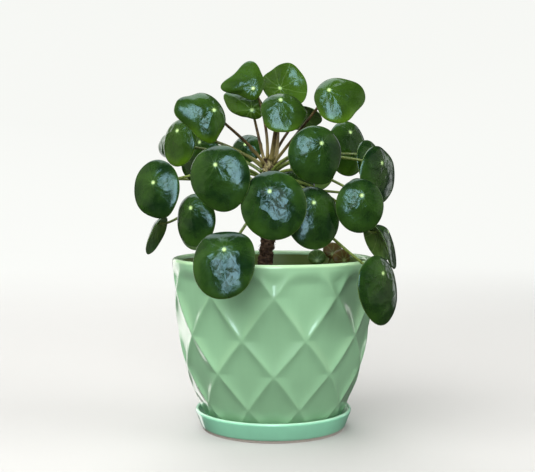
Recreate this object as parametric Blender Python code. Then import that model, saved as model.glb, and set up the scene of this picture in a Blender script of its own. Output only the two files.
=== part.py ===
"""Potted Chinese money plant in a pot with pressed diamond facets, on its saucer.

Units are metres, +Z is up and the front of the plant looks along -Y.
The origin is the middle of the saucer's flat underside.
"""

import math

import bmesh
import bpy
from mathutils import Matrix, Vector

MM = 0.001
GAP = 0.3 * MM
WELD = 0.001 * MM
UP = Vector((0.0, 0.0, 1.0))

# Saucer: a turned dish, outside radii and heights
SAUCER_FOOT_RADIUS = 53.8 * MM
SAUCER_RIM_RADIUS = 59.0 * MM
SAUCER_HEIGHT = 15.2 * MM
SAUCER_FLOOR = 4.5 * MM
SAUCER_WALL = 2.8 * MM
SAUCER_STEPS = 48

# Pot: a wall between a faceted outside and a smooth inside, on a foot ring with a drain hole
POT_BASE = SAUCER_FLOOR + GAP
POT_RIM_HEIGHT = 128.7 * MM
POT_RIM_RADIUS = 76.0 * MM
POT_LIP = 5.0 * MM
POT_FOOT_OUTER = 44.0 * MM
POT_FOOT_INNER = 38.0 * MM
POT_FOOT_HEIGHT = 2.0 * MM
DRAIN_HOLE_RADIUS = 6.0 * MM
POT_INSIDE = [
    (13.0 * MM, 40.0 * MM),
    (24.1 * MM, 50.5 * MM),
    (49.8 * MM, 60.0 * MM),
    (75.3 * MM, 64.8 * MM),
    (105.9 * MM, 68.8 * MM),
]

# Facets: ten columns of diamonds, whose ridges cross at these heights in turn on the middle
# lines of odd and even columns; the top and bottom rows are cut off by the rim and the base
FACET_COLUMNS = 10
FACET_CROSSINGS = [139.0 * MM, 105.9 * MM, 75.3 * MM, 49.8 * MM, 24.1 * MM, -1.0 * MM]
FACET_DEPTH = [3.7 * MM, 3.7 * MM, 3.6 * MM, 3.3 * MM, 2.8 * MM, 2.4 * MM]
FACET_FADE = 5.0 * MM
POT_STEPS = 4 * FACET_COLUMNS
POT_OUTSIDE = [
    (125.5 * MM, 75.9 * MM),
    (122.4 * MM, 75.8 * MM),
    (105.9 * MM, 75.2 * MM),
    (90.6 * MM, 73.9 * MM),
    (75.3 * MM, 71.9 * MM),
    (62.5 * MM, 69.9 * MM),
    (49.8 * MM, 67.2 * MM),
    (37.0 * MM, 63.2 * MM),
    (24.1 * MM, 58.4 * MM),
    (15.0 * MM, 53.7 * MM),
    (7.5 * MM, 48.0 * MM),
]

# Soil: fills the pot to a level under the rim, with plain holes for the stems
SOIL_LEVEL = 112.5 * MM
SOIL_MOUND = 1.5 * MM
STEM_HOLE_SIDES = 16

# Trunk: middle line and radius, from its foot in the soil to the crown
TRUNK_LINE = [
    ((-6.4, 0.0, 88.0), 5.0),
    ((-6.4, 0.0, 114.0), 5.3),
    ((-6.1, 0.0, 124.0), 5.1),
    ((-4.2, 0.0, 142.0), 5.2),
    ((-3.2, 0.0, 160.0), 4.9),
    ((-3.2, 0.0, 185.0), 4.6),
    ((-3.2, 0.0, 203.0), 3.8),
]
TRUNK_SIDES = 10
TRUNK_RINGS = 24
TRUNK_SCAR = 0.35 * MM

# Leaves: blade and stalk sizes that all leaves share
BLADE_THICKNESS = 1.1 * MM
BLADE_SIDES = 18
BLADE_RINGS = 5
BLADE_MID_REACH = 0.6
BULGE_WIDTH = math.radians(32.0)
STALK_FOOT_RADIUS = 1.5 * MM
STALK_TOP_RADIUS = 1.15 * MM
STALK_SIDES = 6
STALK_POINTS = 7
STALK_ARCH = 0.3
STALK_NECK_SHARE = 0.2
STALK_NECK_SHORTEST = 6.0 * MM
STALK_NECK_LONGEST = 16.0 * MM

# Each leaf in millimetres and degrees:
# at: where the stalk meets the upper face
# turn: heading of the upper face, 0 to the front and positive to the right
# lift: how far the upper face looks up
# roll: swing of the tip from straight down to the right
# size: width and length
# off: from the stalk to the blade's middle, towards the tip
# dome: how far the margin lies behind the middle, negative where the blade is cupped
# bulges: angle round from the tip and share by which the outline swells there
# foot: height of the stalk's foot on the trunk
# side: heading of the foot round the trunk, where it isn't the leaf's own
# arch: how much the stalk rises before it leans out
# bend: shift of the stalk's middle
# Leaves 1 to 27 are those seen from the front, and 28 to 34 fill the back of the crown
LEAVES = {
    "leaf_01": dict(
        at=(-3, -78, 179), turn=-5, lift=5, roll=15, size=(45, 48), off=9, dome=5,
        foot=172, arch=0.2,
    ),
    "leaf_02": dict(
        at=(-40, -72, 197), turn=-15, lift=10, roll=12, size=(43, 45), off=8.5, dome=5,
        bulges=((8, 0.07), (-50, -0.06), (-135, 0.05)), foot=185, arch=0.4,
    ),
    "leaf_03": dict(
        at=(-33, -98, 141), turn=-5, lift=10, roll=0, size=(42, 46), off=9.5, dome=5,
        bulges=((150, 0.06),), foot=176, arch=0.0,
    ),
    "leaf_04": dict(
        at=(28, -56, 171), turn=10, lift=0, roll=0, size=(38, 45), off=10, dome=4,
        foot=170, arch=0.4,
    ),
    "leaf_05": dict(
        at=(61, -60, 176), turn=5, lift=5, roll=-5, size=(34, 38), off=7, dome=4,
        foot=189.5, side=42, arch=0.7,
    ),
    "leaf_06": dict(
        at=(33, -62, 212), turn=10, lift=10, roll=-25, size=(38, 40), off=8, dome=4,
        bulges=((42, 0.08),), foot=194,
    ),
    "leaf_07": dict(
        at=(39, -45, 250), turn=5, lift=25, roll=50, size=(35, 35), off=9, dome=4,
        bulges=((50, 0.10), (110, -0.05)), foot=199, arch=0.05,
    ),
    "leaf_08": dict(
        at=(79, -25, 199), turn=40, lift=0, roll=20, size=(38, 43), off=9, dome=5,
        foot=194, side=65, arch=0.7,
    ),
    "leaf_09": dict(
        at=(76, 1, 207), turn=50, lift=10, roll=0, size=(34, 38), off=8, dome=4,
        foot=193.5, side=98, arch=0.6,
    ),
    "leaf_10": dict(
        at=(60, 25, 224), turn=25, lift=15, roll=-10, size=(34, 45), off=12, dome=4,
        foot=198, side=103, arch=0.2,
    ),
    "leaf_11": dict(
        at=(-15, -15, 254), turn=-10, lift=15, roll=-135, size=(30, 26), off=7.5, dome=2,
        bulges=((48, 0.38), (-45, 0.24), (0, -0.06), (-105, -0.15)), foot=203, side=-15, bend=(5, 0, 0),
    ),
    "leaf_12": dict(
        at=(5, 5, 256), turn=10, lift=10, roll=115, size=(36, 35), off=3.5, dome=-4,
        bulges=((105, -0.14), (140, 0.05)), foot=202, side=75,
    ),
    "leaf_13": dict(
        at=(-16, -6, 239), turn=-10, lift=25, roll=-130, size=(25, 33), off=9, dome=4,
        bulges=((120, -0.12),), foot=200, side=-140,
    ),
    "leaf_14": dict(
        at=(5, -35, 244), turn=5, lift=25, roll=8, size=(33, 32), off=8.5, dome=4,
        bulges=((70, 0.06),), foot=202, side=18,
    ),
    "leaf_15": dict(
        at=(20, 18, 239), turn=170, lift=55, roll=0, size=(34, 30), off=2, dome=3,
        foot=199, side=155, arch=1.2,
    ),
    "leaf_16": dict(
        at=(-42, -45, 236), turn=-10, lift=15, roll=-65, size=(36, 31), off=7.5, dome=4,
        bulges=((-30, 0.24), (20, -0.08), (70, 0.12)), foot=199, side=-55, arch=0.35,
    ),
    "leaf_17": dict(
        at=(-71, -15, 223), turn=-40, lift=10, roll=0, size=(34, 36), off=8, dome=4,
        foot=196, arch=0.5,
    ),
    "leaf_18": dict(
        at=(-83, 2, 216.5), turn=-50, lift=10, roll=0, size=(24, 19), off=3, dome=4,
        foot=192.5, arch=0.5,
    ),
    "leaf_19": dict(
        at=(-57, 20, 216), turn=-30, lift=10, roll=-12, size=(35, 40.5), off=9.8, dome=4,
        foot=197, side=-118, arch=0.5,
    ),
    "leaf_20": dict(
        at=(-86, -40, 185), turn=-25, lift=5, roll=8, size=(38, 43), off=4, dome=4,
        foot=188, arch=0.5,
    ),
    "leaf_21": dict(
        at=(-59, -45, 167), turn=-35, lift=0, roll=4, size=(35, 39), off=9, dome=5,
        foot=181, arch=0.6,
    ),
    "leaf_22": dict(
        at=(-87.5, -5, 155), turn=-100, lift=22, roll=0, size=(34, 31), off=9, dome=3,
        foot=184, side=-95, arch=0.5,
    ),
    "leaf_23": dict(
        at=(-22, 35, 215), turn=-20, lift=20, roll=0, size=(26, 24), off=2, dome=4,
        foot=197,
    ),
    "leaf_24": dict(
        at=(77, -23, 149), turn=110, lift=22, roll=0, size=(34, 31), off=6.5, dome=4,
        foot=184, arch=0.5,
    ),
    "leaf_25": dict(
        at=(87, 0, 148), turn=75, lift=22, roll=0, size=(34, 36), off=10, dome=5,
        foot=187, arch=0.5,
    ),
    "leaf_26": dict(
        at=(76, -62, 122), turn=35, lift=5, roll=2, size=(37, 49), off=12, dome=5,
        bulges=((-45, -0.08), (20, 0.02)), foot=180, arch=0.0,
    ),
    "leaf_27": dict(
        at=(17, 15, 193), turn=20, lift=50, roll=0, size=(30, 27), off=6, dome=3,
        foot=184,
    ),
    "leaf_28": dict(
        at=(-43, 70, 194), turn=-150, lift=10, roll=0, size=(42, 44), off=9, dome=5,
        foot=180,
    ),
    "leaf_29": dict(
        at=(-3, 78, 172), turn=180, lift=5, roll=0, size=(44, 46), off=9, dome=5,
        foot=170,
    ),
    "leaf_30": dict(
        at=(33, 62, 206), turn=160, lift=15, roll=0, size=(38, 40), off=8, dome=4,
        foot=186, arch=0.9, bend=(-3, 0, 4),
    ),
    "leaf_31": dict(
        at=(73, 50, 176), turn=130, lift=5, roll=0, size=(38, 42), off=8, dome=5,
        foot=176, arch=0.2,
    ),
    "leaf_32": dict(
        at=(-92, 40, 188), turn=-120, lift=5, roll=0, size=(38, 42), off=8, dome=5,
        foot=176,
    ),
    "leaf_33": dict(
        at=(-66, 60, 157), turn=-140, lift=0, roll=0, size=(34, 38), off=8, dome=5,
        foot=183, arch=0.5,
    ),
    "leaf_34": dict(
        at=(38, 70, 161), turn=150, lift=0, roll=0, size=(38, 42), off=8, dome=4,
        foot=162,
    ),
}

# The two youngest leaves at the crown are a lighter green
YOUNG_LEAVES = {"leaf_12", "leaf_13"}

# Pups: young offsets in the soil; place of the stem's foot, and a small leaf as a row like those above
PUP_STEM_RADIUS = 1.2 * MM
PUP_DEPTH = 12.0 * MM
PUP_STEM_RISE = 4.0 * MM
PUP_NECK = 4.0 * MM
PUP_NECK_RADIUS = 1.0 * MM
PUPS = {
    "pup_1": dict(foot=(31, 14), at=(33, 10, 130), turn=0, lift=10, roll=0, size=(12, 11), off=2, dome=1),
    "pup_2": dict(foot=(41, 22), at=(46, 16, 134), turn=10, lift=20, roll=0, size=(16, 12), off=2, dome=1),
    "pup_3": dict(foot=(51, 8), at=(54, 4, 131), turn=30, lift=20, roll=0, size=(15, 11), off=2, dome=1),
}
PUP_BLADE_SIDES = 12


def clear_scene():
    for item in list(bpy.data.objects):
        bpy.data.objects.remove(item, do_unlink=True)


def make_material(name, colour, roughness, metallic=0.0):
    material = bpy.data.materials.new(name)
    material.use_nodes = True
    shader = material.node_tree.nodes["Principled BSDF"]
    shader.inputs["Base Color"].default_value = (*colour, 1.0)
    shader.inputs["Roughness"].default_value = roughness
    shader.inputs["Metallic"].default_value = metallic
    return material


def make_object(name, bm, material, parent, place=None):
    bmesh.ops.recalc_face_normals(bm, faces=bm.faces)
    mesh = bpy.data.meshes.new(name)
    bm.to_mesh(mesh)
    bm.free()
    if material is not None:
        mesh.materials.append(material)
    mesh.shade_smooth()
    mesh.set_sharp_from_angle(angle=math.radians(40.0))
    item = bpy.data.objects.new(name, mesh)
    bpy.context.scene.collection.objects.link(item)
    item.parent = parent
    if place is not None:
        item.matrix_local = place
    return item


def spin_profile(profile, steps, closed):
    """Turn a profile of (radius, height) points about the Z axis."""
    bm = bmesh.new()
    verts = [bm.verts.new((radius, 0.0, height)) for radius, height in profile]
    pairs = list(zip(verts, verts[1:]))
    if closed:
        pairs.append((verts[-1], verts[0]))
    edges = [bm.edges.new(pair) for pair in pairs]
    bmesh.ops.spin(
        bm, geom=verts + edges, cent=(0, 0, 0), axis=(0, 0, 1), angle=math.tau, steps=steps, use_merge=True
    )
    bmesh.ops.remove_doubles(bm, verts=bm.verts, dist=WELD)
    return bm


def make_saucer(material, parent):
    inner_foot = SAUCER_FOOT_RADIUS - SAUCER_WALL
    crest = SAUCER_RIM_RADIUS - 0.5 * SAUCER_WALL
    profile = [
        (0.0, 0.0),
        (SAUCER_FOOT_RADIUS, 0.0),
        (SAUCER_FOOT_RADIUS + 0.8 * MM, 1.8 * MM),
        (SAUCER_RIM_RADIUS, SAUCER_HEIGHT - 1.4 * MM),
        (SAUCER_RIM_RADIUS - 0.4 * MM, SAUCER_HEIGHT - 0.4 * MM),
        (crest, SAUCER_HEIGHT),
        (SAUCER_RIM_RADIUS - SAUCER_WALL, SAUCER_HEIGHT - 0.8 * MM),
        (inner_foot + 1.5 * MM, SAUCER_FLOOR + 1.8 * MM),
        (inner_foot, SAUCER_FLOOR),
        (0.0, SAUCER_FLOOR),
    ]
    return make_object("saucer", spin_profile(profile, SAUCER_STEPS, closed=False), material, parent)


def facet_recess(height, angle):
    """How far the outside is pressed in: nothing on the ridges, most in a diamond's middle."""
    half_angle = math.pi / FACET_COLUMNS
    fade = min(POT_OUTSIDE[0][0] - height, height - POT_OUTSIDE[-1][0]) / FACET_FADE
    for row, (top, low) in enumerate(zip(FACET_CROSSINGS, FACET_CROSSINGS[1:])):
        if low <= height <= top:
            down = (top - height) / (top - low)
            shift = 1.0 if row % 2 == 0 else 0.0
            from_upper = abs((angle / half_angle + shift) % 2.0 - 1.0)
            upper = from_upper < 1.0 - down
            half_width = 1.0 - down if upper else down
            sideways = from_upper if upper else 1.0 - from_upper
            share = sideways / max(half_width, WELD)
            dish = FACET_DEPTH[row if upper else row + 1] * half_width * (2.0 - half_width)
            return dish * max(1.0 - share**2, 0.0) * min(max(fade, 0.0), 1.0)
    return 0.0


def pot_profile():
    """Closed outline of the pot's wall: outside, foot, drain hole, inside and lip."""
    foot_top = POT_BASE + POT_FOOT_HEIGHT
    floor = POT_INSIDE[0][0]
    base = [
        (POT_FOOT_OUTER, POT_BASE),
        (POT_FOOT_INNER, POT_BASE),
        (POT_FOOT_INNER - POT_FOOT_HEIGHT, foot_top),
        (DRAIN_HOLE_RADIUS, foot_top),
        (DRAIN_HOLE_RADIUS, floor),
    ]
    inside = [(radius, height) for height, radius in POT_INSIDE]
    crest = POT_RIM_HEIGHT
    lip = [
        (POT_RIM_RADIUS - POT_LIP, crest - 2.2 * MM),
        (POT_RIM_RADIUS - 0.8 * POT_LIP, crest - 0.7 * MM),
        (POT_RIM_RADIUS - 0.45 * POT_LIP, crest),
        (POT_RIM_RADIUS - 0.15 * POT_LIP, crest - 0.6 * MM),
        (POT_RIM_RADIUS, crest - 2.0 * MM),
    ]
    outside = [(radius, height) for height, radius in POT_OUTSIDE]
    return outside + base + inside + lip


def make_pot(material, parent):
    bm = spin_profile(pot_profile(), POT_STEPS, closed=True)
    recess = dict.fromkeys(bm.verts, 0.0)
    for vert in bm.verts:
        radius = math.hypot(vert.co.x, vert.co.y)
        if any(math.hypot(radius - wide, vert.co.z - height) < WELD for height, wide in POT_OUTSIDE):
            recess[vert] = facet_recess(vert.co.z, math.atan2(vert.co.x, -vert.co.y))
            vert.co.xy *= (radius - recess[vert]) / radius
    for face in list(bm.faces):
        if len(face.verts) == 4 and any(recess[vert] > 0.0 for vert in face.verts):
            first, second, third, fourth = face.verts
            proud = recess[first] + recess[third] < recess[second] + recess[fourth]
            ends = (first, third) if proud else (second, fourth)
            bmesh.utils.face_split(face, *ends)
    return make_object("pot", bm, material, parent)


def trunk_point(height):
    """Middle of the trunk and its radius at a height, both in metres."""
    for (low, low_radius), (top, top_radius) in zip(TRUNK_LINE, TRUNK_LINE[1:]):
        if height <= top[2] * MM or (top, top_radius) == TRUNK_LINE[-1]:
            share = (height - low[2] * MM) / ((top[2] - low[2]) * MM)
            share = min(max(share, 0.0), 1.0)
            middle = Vector(low).lerp(Vector(top), share) * MM
            return middle, (low_radius + (top_radius - low_radius) * share) * MM
    return None


def tube(points, radii, sides):
    """A closed tube along points, with a radius at each point."""
    bm = bmesh.new()
    ring = None
    for index, (point, radius) in enumerate(zip(points, radii)):
        before = points[max(index - 1, 0)]
        after = points[min(index + 1, len(points) - 1)]
        turn = (after - before).to_track_quat("Z", "Y").to_matrix().to_4x4()
        place = Matrix.Translation(point) @ turn
        made = bmesh.ops.create_circle(bm, cap_ends=False, radius=radius, segments=sides, matrix=place)
        edges = list({edge for vert in made["verts"] for edge in vert.link_edges})
        if ring is None:
            bmesh.ops.contextual_create(bm, geom=edges)
        else:
            bmesh.ops.bridge_loops(bm, edges=ring + edges)
        ring = edges
    bmesh.ops.contextual_create(bm, geom=ring)
    return bm


def make_trunk(material, parent):
    low, top = TRUNK_LINE[0][0][2] * MM, TRUNK_LINE[-1][0][2] * MM
    points, radii = [], []
    for ring in range(TRUNK_RINGS):
        height = low + (top - low) * ring / (TRUNK_RINGS - 1)
        middle, radius = trunk_point(height)
        points.append(middle)
        scar = TRUNK_SCAR if ring % 2 else 0.0
        radii.append(radius - scar)
    return make_object("trunk", tube(points, radii, TRUNK_SIDES), material, parent)


def leaf_frame(leaf):
    """Local axes of a blade: X to its left, Y to its tip, Z out of its upper face."""
    turn, lift, roll = (math.radians(leaf[key]) for key in ("turn", "lift", "roll"))
    face = Vector((math.sin(turn) * math.cos(lift), -math.cos(turn) * math.cos(lift), math.sin(lift)))
    right = UP.cross(face).normalized()
    down = right.cross(face)
    tip = down * math.cos(roll) + right * math.sin(roll)
    frame = Matrix((tip.cross(face), tip, face)).transposed().to_4x4()
    return Matrix.Translation(Vector(leaf["at"]) * MM) @ frame


def blade_point(leaf, reach, angle, under):
    """A point of a blade: reach 0 at the stalk to 1 at the margin, angle round from the tip."""
    half_width, half_length = leaf["size"][0] * 0.5 * MM, leaf["size"][1] * 0.5 * MM
    swell = 1.0
    for place, amount in leaf.get("bulges", ()):
        apart = (angle - math.radians(place) + math.pi) % math.tau - math.pi
        swell += amount * math.exp(-((apart / BULGE_WIDTH) ** 2))
    across = -reach * half_width * swell * math.sin(angle)
    along = reach * (leaf["off"] * MM + half_length * swell * math.cos(angle))
    rise = -leaf["dome"] * MM * reach**2
    return Vector((across, along, rise - (BLADE_THICKNESS if under else 0.0)))


def blade_mesh(leaf, sides):
    """A thin closed blade, from a squashed ball whose faces are split alike on both sides."""
    bm = bmesh.new()
    bmesh.ops.create_uvsphere(bm, u_segments=sides, v_segments=BLADE_RINGS, radius=1.0)
    reaches = [0.0, BLADE_MID_REACH, 1.0]
    place = {}
    for vert in bm.verts:
        ring = round(math.acos(max(-1.0, min(1.0, vert.co.z))) / math.pi * BLADE_RINGS)
        under = ring > BLADE_RINGS // 2
        inward = min(ring, BLADE_RINGS - ring)
        sector = round(math.atan2(vert.co.x, vert.co.y) / math.tau * sides) % sides
        place[vert] = (inward, sector, under)
    for vert, (inward, sector, under) in place.items():
        vert.co = blade_point(leaf, reaches[inward], math.tau * sector / sides, under)
    for face in list(bm.faces):
        if len(face.verts) == 4:
            corners = sorted(face.verts, key=lambda vert: place[vert][0])
            inner, outer = corners[:2], corners[2:]
            for start in inner:
                after = (place[start][1] + 1) % sides
                match = [vert for vert in outer if place[vert][1] == after]
                if match and place[outer[0]][0] != place[start][0]:
                    bmesh.utils.face_split(face, start, match[0])
                    break
    return bm


def stalk_line(leaf, frame):
    """Points along a stalk in the blade's frame, from its foot beside the trunk to the blade."""
    top = frame.translation
    middle, trunk_radius = trunk_point(leaf["foot"] * MM)
    outward = (top - middle) * Vector((1, 1, 0))
    heading = math.radians(leaf["side"]) if "side" in leaf else math.atan2(outward.x, -outward.y)
    outward = Vector((math.sin(heading), -math.cos(heading), 0.0))
    start = ((top - middle).normalized() + UP * leaf.get("arch", STALK_ARCH)).normalized()
    trunk_flat = trunk_radius * math.cos(math.pi / TRUNK_SIDES)
    clear = trunk_flat + GAP + STALK_FOOT_RADIUS * abs(start.z)
    foot = middle + outward * clear
    length = (top - foot).length
    face = frame.to_3x3() @ UP
    neck = min(max(STALK_NECK_SHARE * length, STALK_NECK_SHORTEST), STALK_NECK_LONGEST)
    end = top - face * 0.5 * BLADE_THICKNESS
    bend = Vector(leaf.get("bend", (0, 0, 0))) * MM
    first = foot + start * 0.4 * length + bend
    second = end - face * neck + bend * 0.5
    points = []
    for step in range(STALK_POINTS):
        t = step / (STALK_POINTS - 1)
        a, b, c, d = (1 - t) ** 3, 3 * t * (1 - t) ** 2, 3 * t**2 * (1 - t), t**3
        points.append(foot * a + first * b + second * c + end * d)
    inverse = frame.inverted()
    return [inverse @ point for point in points]


def union(name, shapes, material, parent, place):
    """Join closed shapes that sink into each other to one solid."""
    items = [make_object(name, bm, material, parent, place) for bm in shapes]
    body = items[0]
    for other in items[1:]:
        cut = body.modifiers.new("union", "BOOLEAN")
        cut.operation = "UNION"
        cut.object = other
    bpy.context.view_layer.update()
    depsgraph = bpy.context.evaluated_depsgraph_get()
    mesh = bpy.data.meshes.new_from_object(body.evaluated_get(depsgraph))
    body.modifiers.clear()
    body.data = mesh
    for other in items[1:]:
        bpy.data.objects.remove(other, do_unlink=True)
    body.name = name
    return body


def make_leaf(name, leaf, material, parent):
    frame = leaf_frame(leaf)
    line = stalk_line(leaf, frame)
    radii = []
    for step in range(len(line)):
        share = step / (len(line) - 1)
        radii.append(STALK_FOOT_RADIUS + (STALK_TOP_RADIUS - STALK_FOOT_RADIUS) * share)
    shapes = [blade_mesh(leaf, BLADE_SIDES), tube(line, radii, STALK_SIDES)]
    return union(name, shapes, material, parent, frame)


def make_pup(name, pup, material, parent):
    base = Vector((pup["foot"][0] * MM, pup["foot"][1] * MM, SOIL_LEVEL - PUP_DEPTH))
    place = Matrix.Translation(base)
    frame = leaf_frame(pup)
    face = frame.to_3x3() @ UP
    end = frame.translation - face * 0.5 * BLADE_THICKNESS
    line = [base, base + UP * PUP_DEPTH, base + UP * (PUP_DEPTH + PUP_STEM_RISE), end - face * PUP_NECK, end]
    radii = [PUP_STEM_RADIUS] * 3 + [PUP_NECK_RADIUS] * 2
    blade = blade_mesh(pup, PUP_BLADE_SIDES)
    blade.transform(place.inverted() @ frame)
    stem = tube([place.inverted() @ point for point in line], radii, STALK_SIDES)
    return union(name, [blade, stem], material, parent, place)


def make_stem_hole(name, foot, radius, body, parent):
    """Cut a plain upright hole for a stem, which keeps a gap to it all round."""
    hole = radius + 1.5 * GAP
    points = [foot - UP * GAP, Vector((foot.x, foot.y, POT_RIM_HEIGHT))]
    cutter = make_object(name, tube(points, [hole, hole], STEM_HOLE_SIDES), None, parent)
    cutter.hide_render = True
    cutter.display_type = "WIRE"
    cut = body.modifiers.new(name, "BOOLEAN")
    cut.operation = "DIFFERENCE"
    cut.object = cutter


def make_soil(material, parent):
    floor = POT_INSIDE[0][0] + GAP
    profile = [(0.0, floor), (POT_INSIDE[0][1] - 2.0 * GAP, floor)]
    profile += [(radius - 1.5 * GAP, height) for height, radius in POT_INSIDE[1:]]
    edge = profile[-1][0]
    profile += [
        (edge, SOIL_LEVEL - SOIL_MOUND),
        (0.85 * edge, SOIL_LEVEL),
        (0.4 * edge, SOIL_LEVEL + SOIL_MOUND),
        (0.0, SOIL_LEVEL + SOIL_MOUND),
    ]
    body = make_object("soil", spin_profile(profile, POT_STEPS, closed=False), material, parent)
    foot, radius = Vector(TRUNK_LINE[0][0]) * MM, TRUNK_LINE[1][1] * MM
    make_stem_hole("trunk_hole", foot, radius, body, parent)
    for name, pup in PUPS.items():
        foot = Vector((pup["foot"][0] * MM, pup["foot"][1] * MM, SOIL_LEVEL - PUP_DEPTH))
        make_stem_hole(name + "_hole", foot, PUP_STEM_RADIUS, body, parent)
    return body


def main():
    clear_scene()
    root = bpy.data.objects.new("potted_plant", None)
    bpy.context.scene.collection.objects.link(root)
    glaze = make_material("pot_glaze", (0.27, 0.55, 0.33), 0.25)
    dish_glaze = make_material("saucer_glaze", (0.20, 0.53, 0.36), 0.25)
    soil = make_material("soil", (0.05, 0.035, 0.025), 0.95)
    bark = make_material("trunk_bark", (0.07, 0.04, 0.025), 0.85)
    green = make_material("leaf_green", (0.03, 0.12, 0.02), 0.3)
    young_green = make_material("young_green", (0.10, 0.26, 0.02), 0.35)
    red_green = make_material("pup_green", (0.10, 0.09, 0.03), 0.45)
    make_saucer(dish_glaze, root)
    make_pot(glaze, root)
    make_soil(soil, root)
    make_trunk(bark, root)
    for name, leaf in LEAVES.items():
        make_leaf(name, leaf, young_green if name in YOUNG_LEAVES else green, root)
    for name, pup in PUPS.items():
        make_pup(name, pup, red_green, root)


main()
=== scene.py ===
"""A potted Chinese money plant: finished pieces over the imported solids, in metres with +Z up."""

import math
import random

import bmesh
import bpy
from mathutils import Matrix, Vector, noise


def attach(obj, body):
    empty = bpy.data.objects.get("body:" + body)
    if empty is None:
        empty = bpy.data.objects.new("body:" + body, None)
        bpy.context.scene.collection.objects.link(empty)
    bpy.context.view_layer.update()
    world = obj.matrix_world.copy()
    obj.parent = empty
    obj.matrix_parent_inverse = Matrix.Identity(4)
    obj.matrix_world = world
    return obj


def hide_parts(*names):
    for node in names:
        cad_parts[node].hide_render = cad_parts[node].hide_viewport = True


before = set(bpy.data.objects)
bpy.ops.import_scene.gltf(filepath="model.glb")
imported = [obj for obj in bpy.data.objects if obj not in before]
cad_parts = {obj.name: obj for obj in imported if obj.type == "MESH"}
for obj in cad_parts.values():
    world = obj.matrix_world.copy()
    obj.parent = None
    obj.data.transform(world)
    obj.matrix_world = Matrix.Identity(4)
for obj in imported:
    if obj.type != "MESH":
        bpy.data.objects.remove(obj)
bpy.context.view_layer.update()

# Saucer
# A turned stoneware dish, dipped in turquoise glaze down to a bare clay band round its foot.
# It stands on the floor by that foot, and the pot stands loose on its flat bottom.
MM = 0.001
MERGE = 0.001 * MM
SAUCER_STEPS = 160
SAUCER_BARE_HEIGHT = 1.95 * MM
SAUCER_CORNER_ANGLE = 0.25
SAUCER_SOFT_EDGE = 0.35 * MM
# Heights between which the glaze grows thin over the rim
SAUCER_RIM = (14.1 * MM, 15.1 * MM)
SAUCER_DEEP_GLAZE = (0.27, 0.63, 0.415)
SAUCER_THIN_GLAZE = (0.42, 0.70, 0.50)
GLAZE_GLOSS = 0.7
GLAZE_CLOUDS = 30 * MM
GLAZE_RUNS = 7 * MM
GLAZE_RUN_STRETCH = (1.0, 1.0, 0.15)
GLAZE_TONES = (0.96, 1.04)
GLAZE_DULL_SPOTS = 8 * MM
GLAZE_ROUGHNESS = (0.275, 0.325)
CLAY_LIGHT = (0.50, 0.44, 0.38)
CLAY_DARK = (0.36, 0.31, 0.26)
CLAY_GRAIN = 0.5 * MM
CLAY_RELIEF = 0.03 * MM
CLAY_ROUGHNESS = (0.75, 0.9)
# Where nearly all the values of a random cloud lie
CLOUD_RANGE = (0.3, 0.7)
# The size and depth of the glaze's faint waves, and of its orange peel
GLAZE_RELIEF = ((14 * MM, 0.06 * MM), (1.6 * MM, 0.004 * MM))
# Radius and height in millimetres, from the middle of the underside to the middle inside
SAUCER_OUTLINE = [
    (0.0, 0.7),
    (45.5, 0.7),
    (46.6, 0.0),
    (53.4, 0.0),
    (53.9, 1.9),
    (54.6, 2.3),
    (55.1, 3.4),
    (57.2, 9.0),
    (58.9, 13.6),
    (58.6, 14.7),
    (57.7, 15.2),
    (56.8, 15.0),
    (56.1, 14.2),
    (53.2, 7.6),
    (52.3, 5.7),
    (50.6, 4.6),
    (48.5, 4.5),
    (0.0, 4.5),
]


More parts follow.
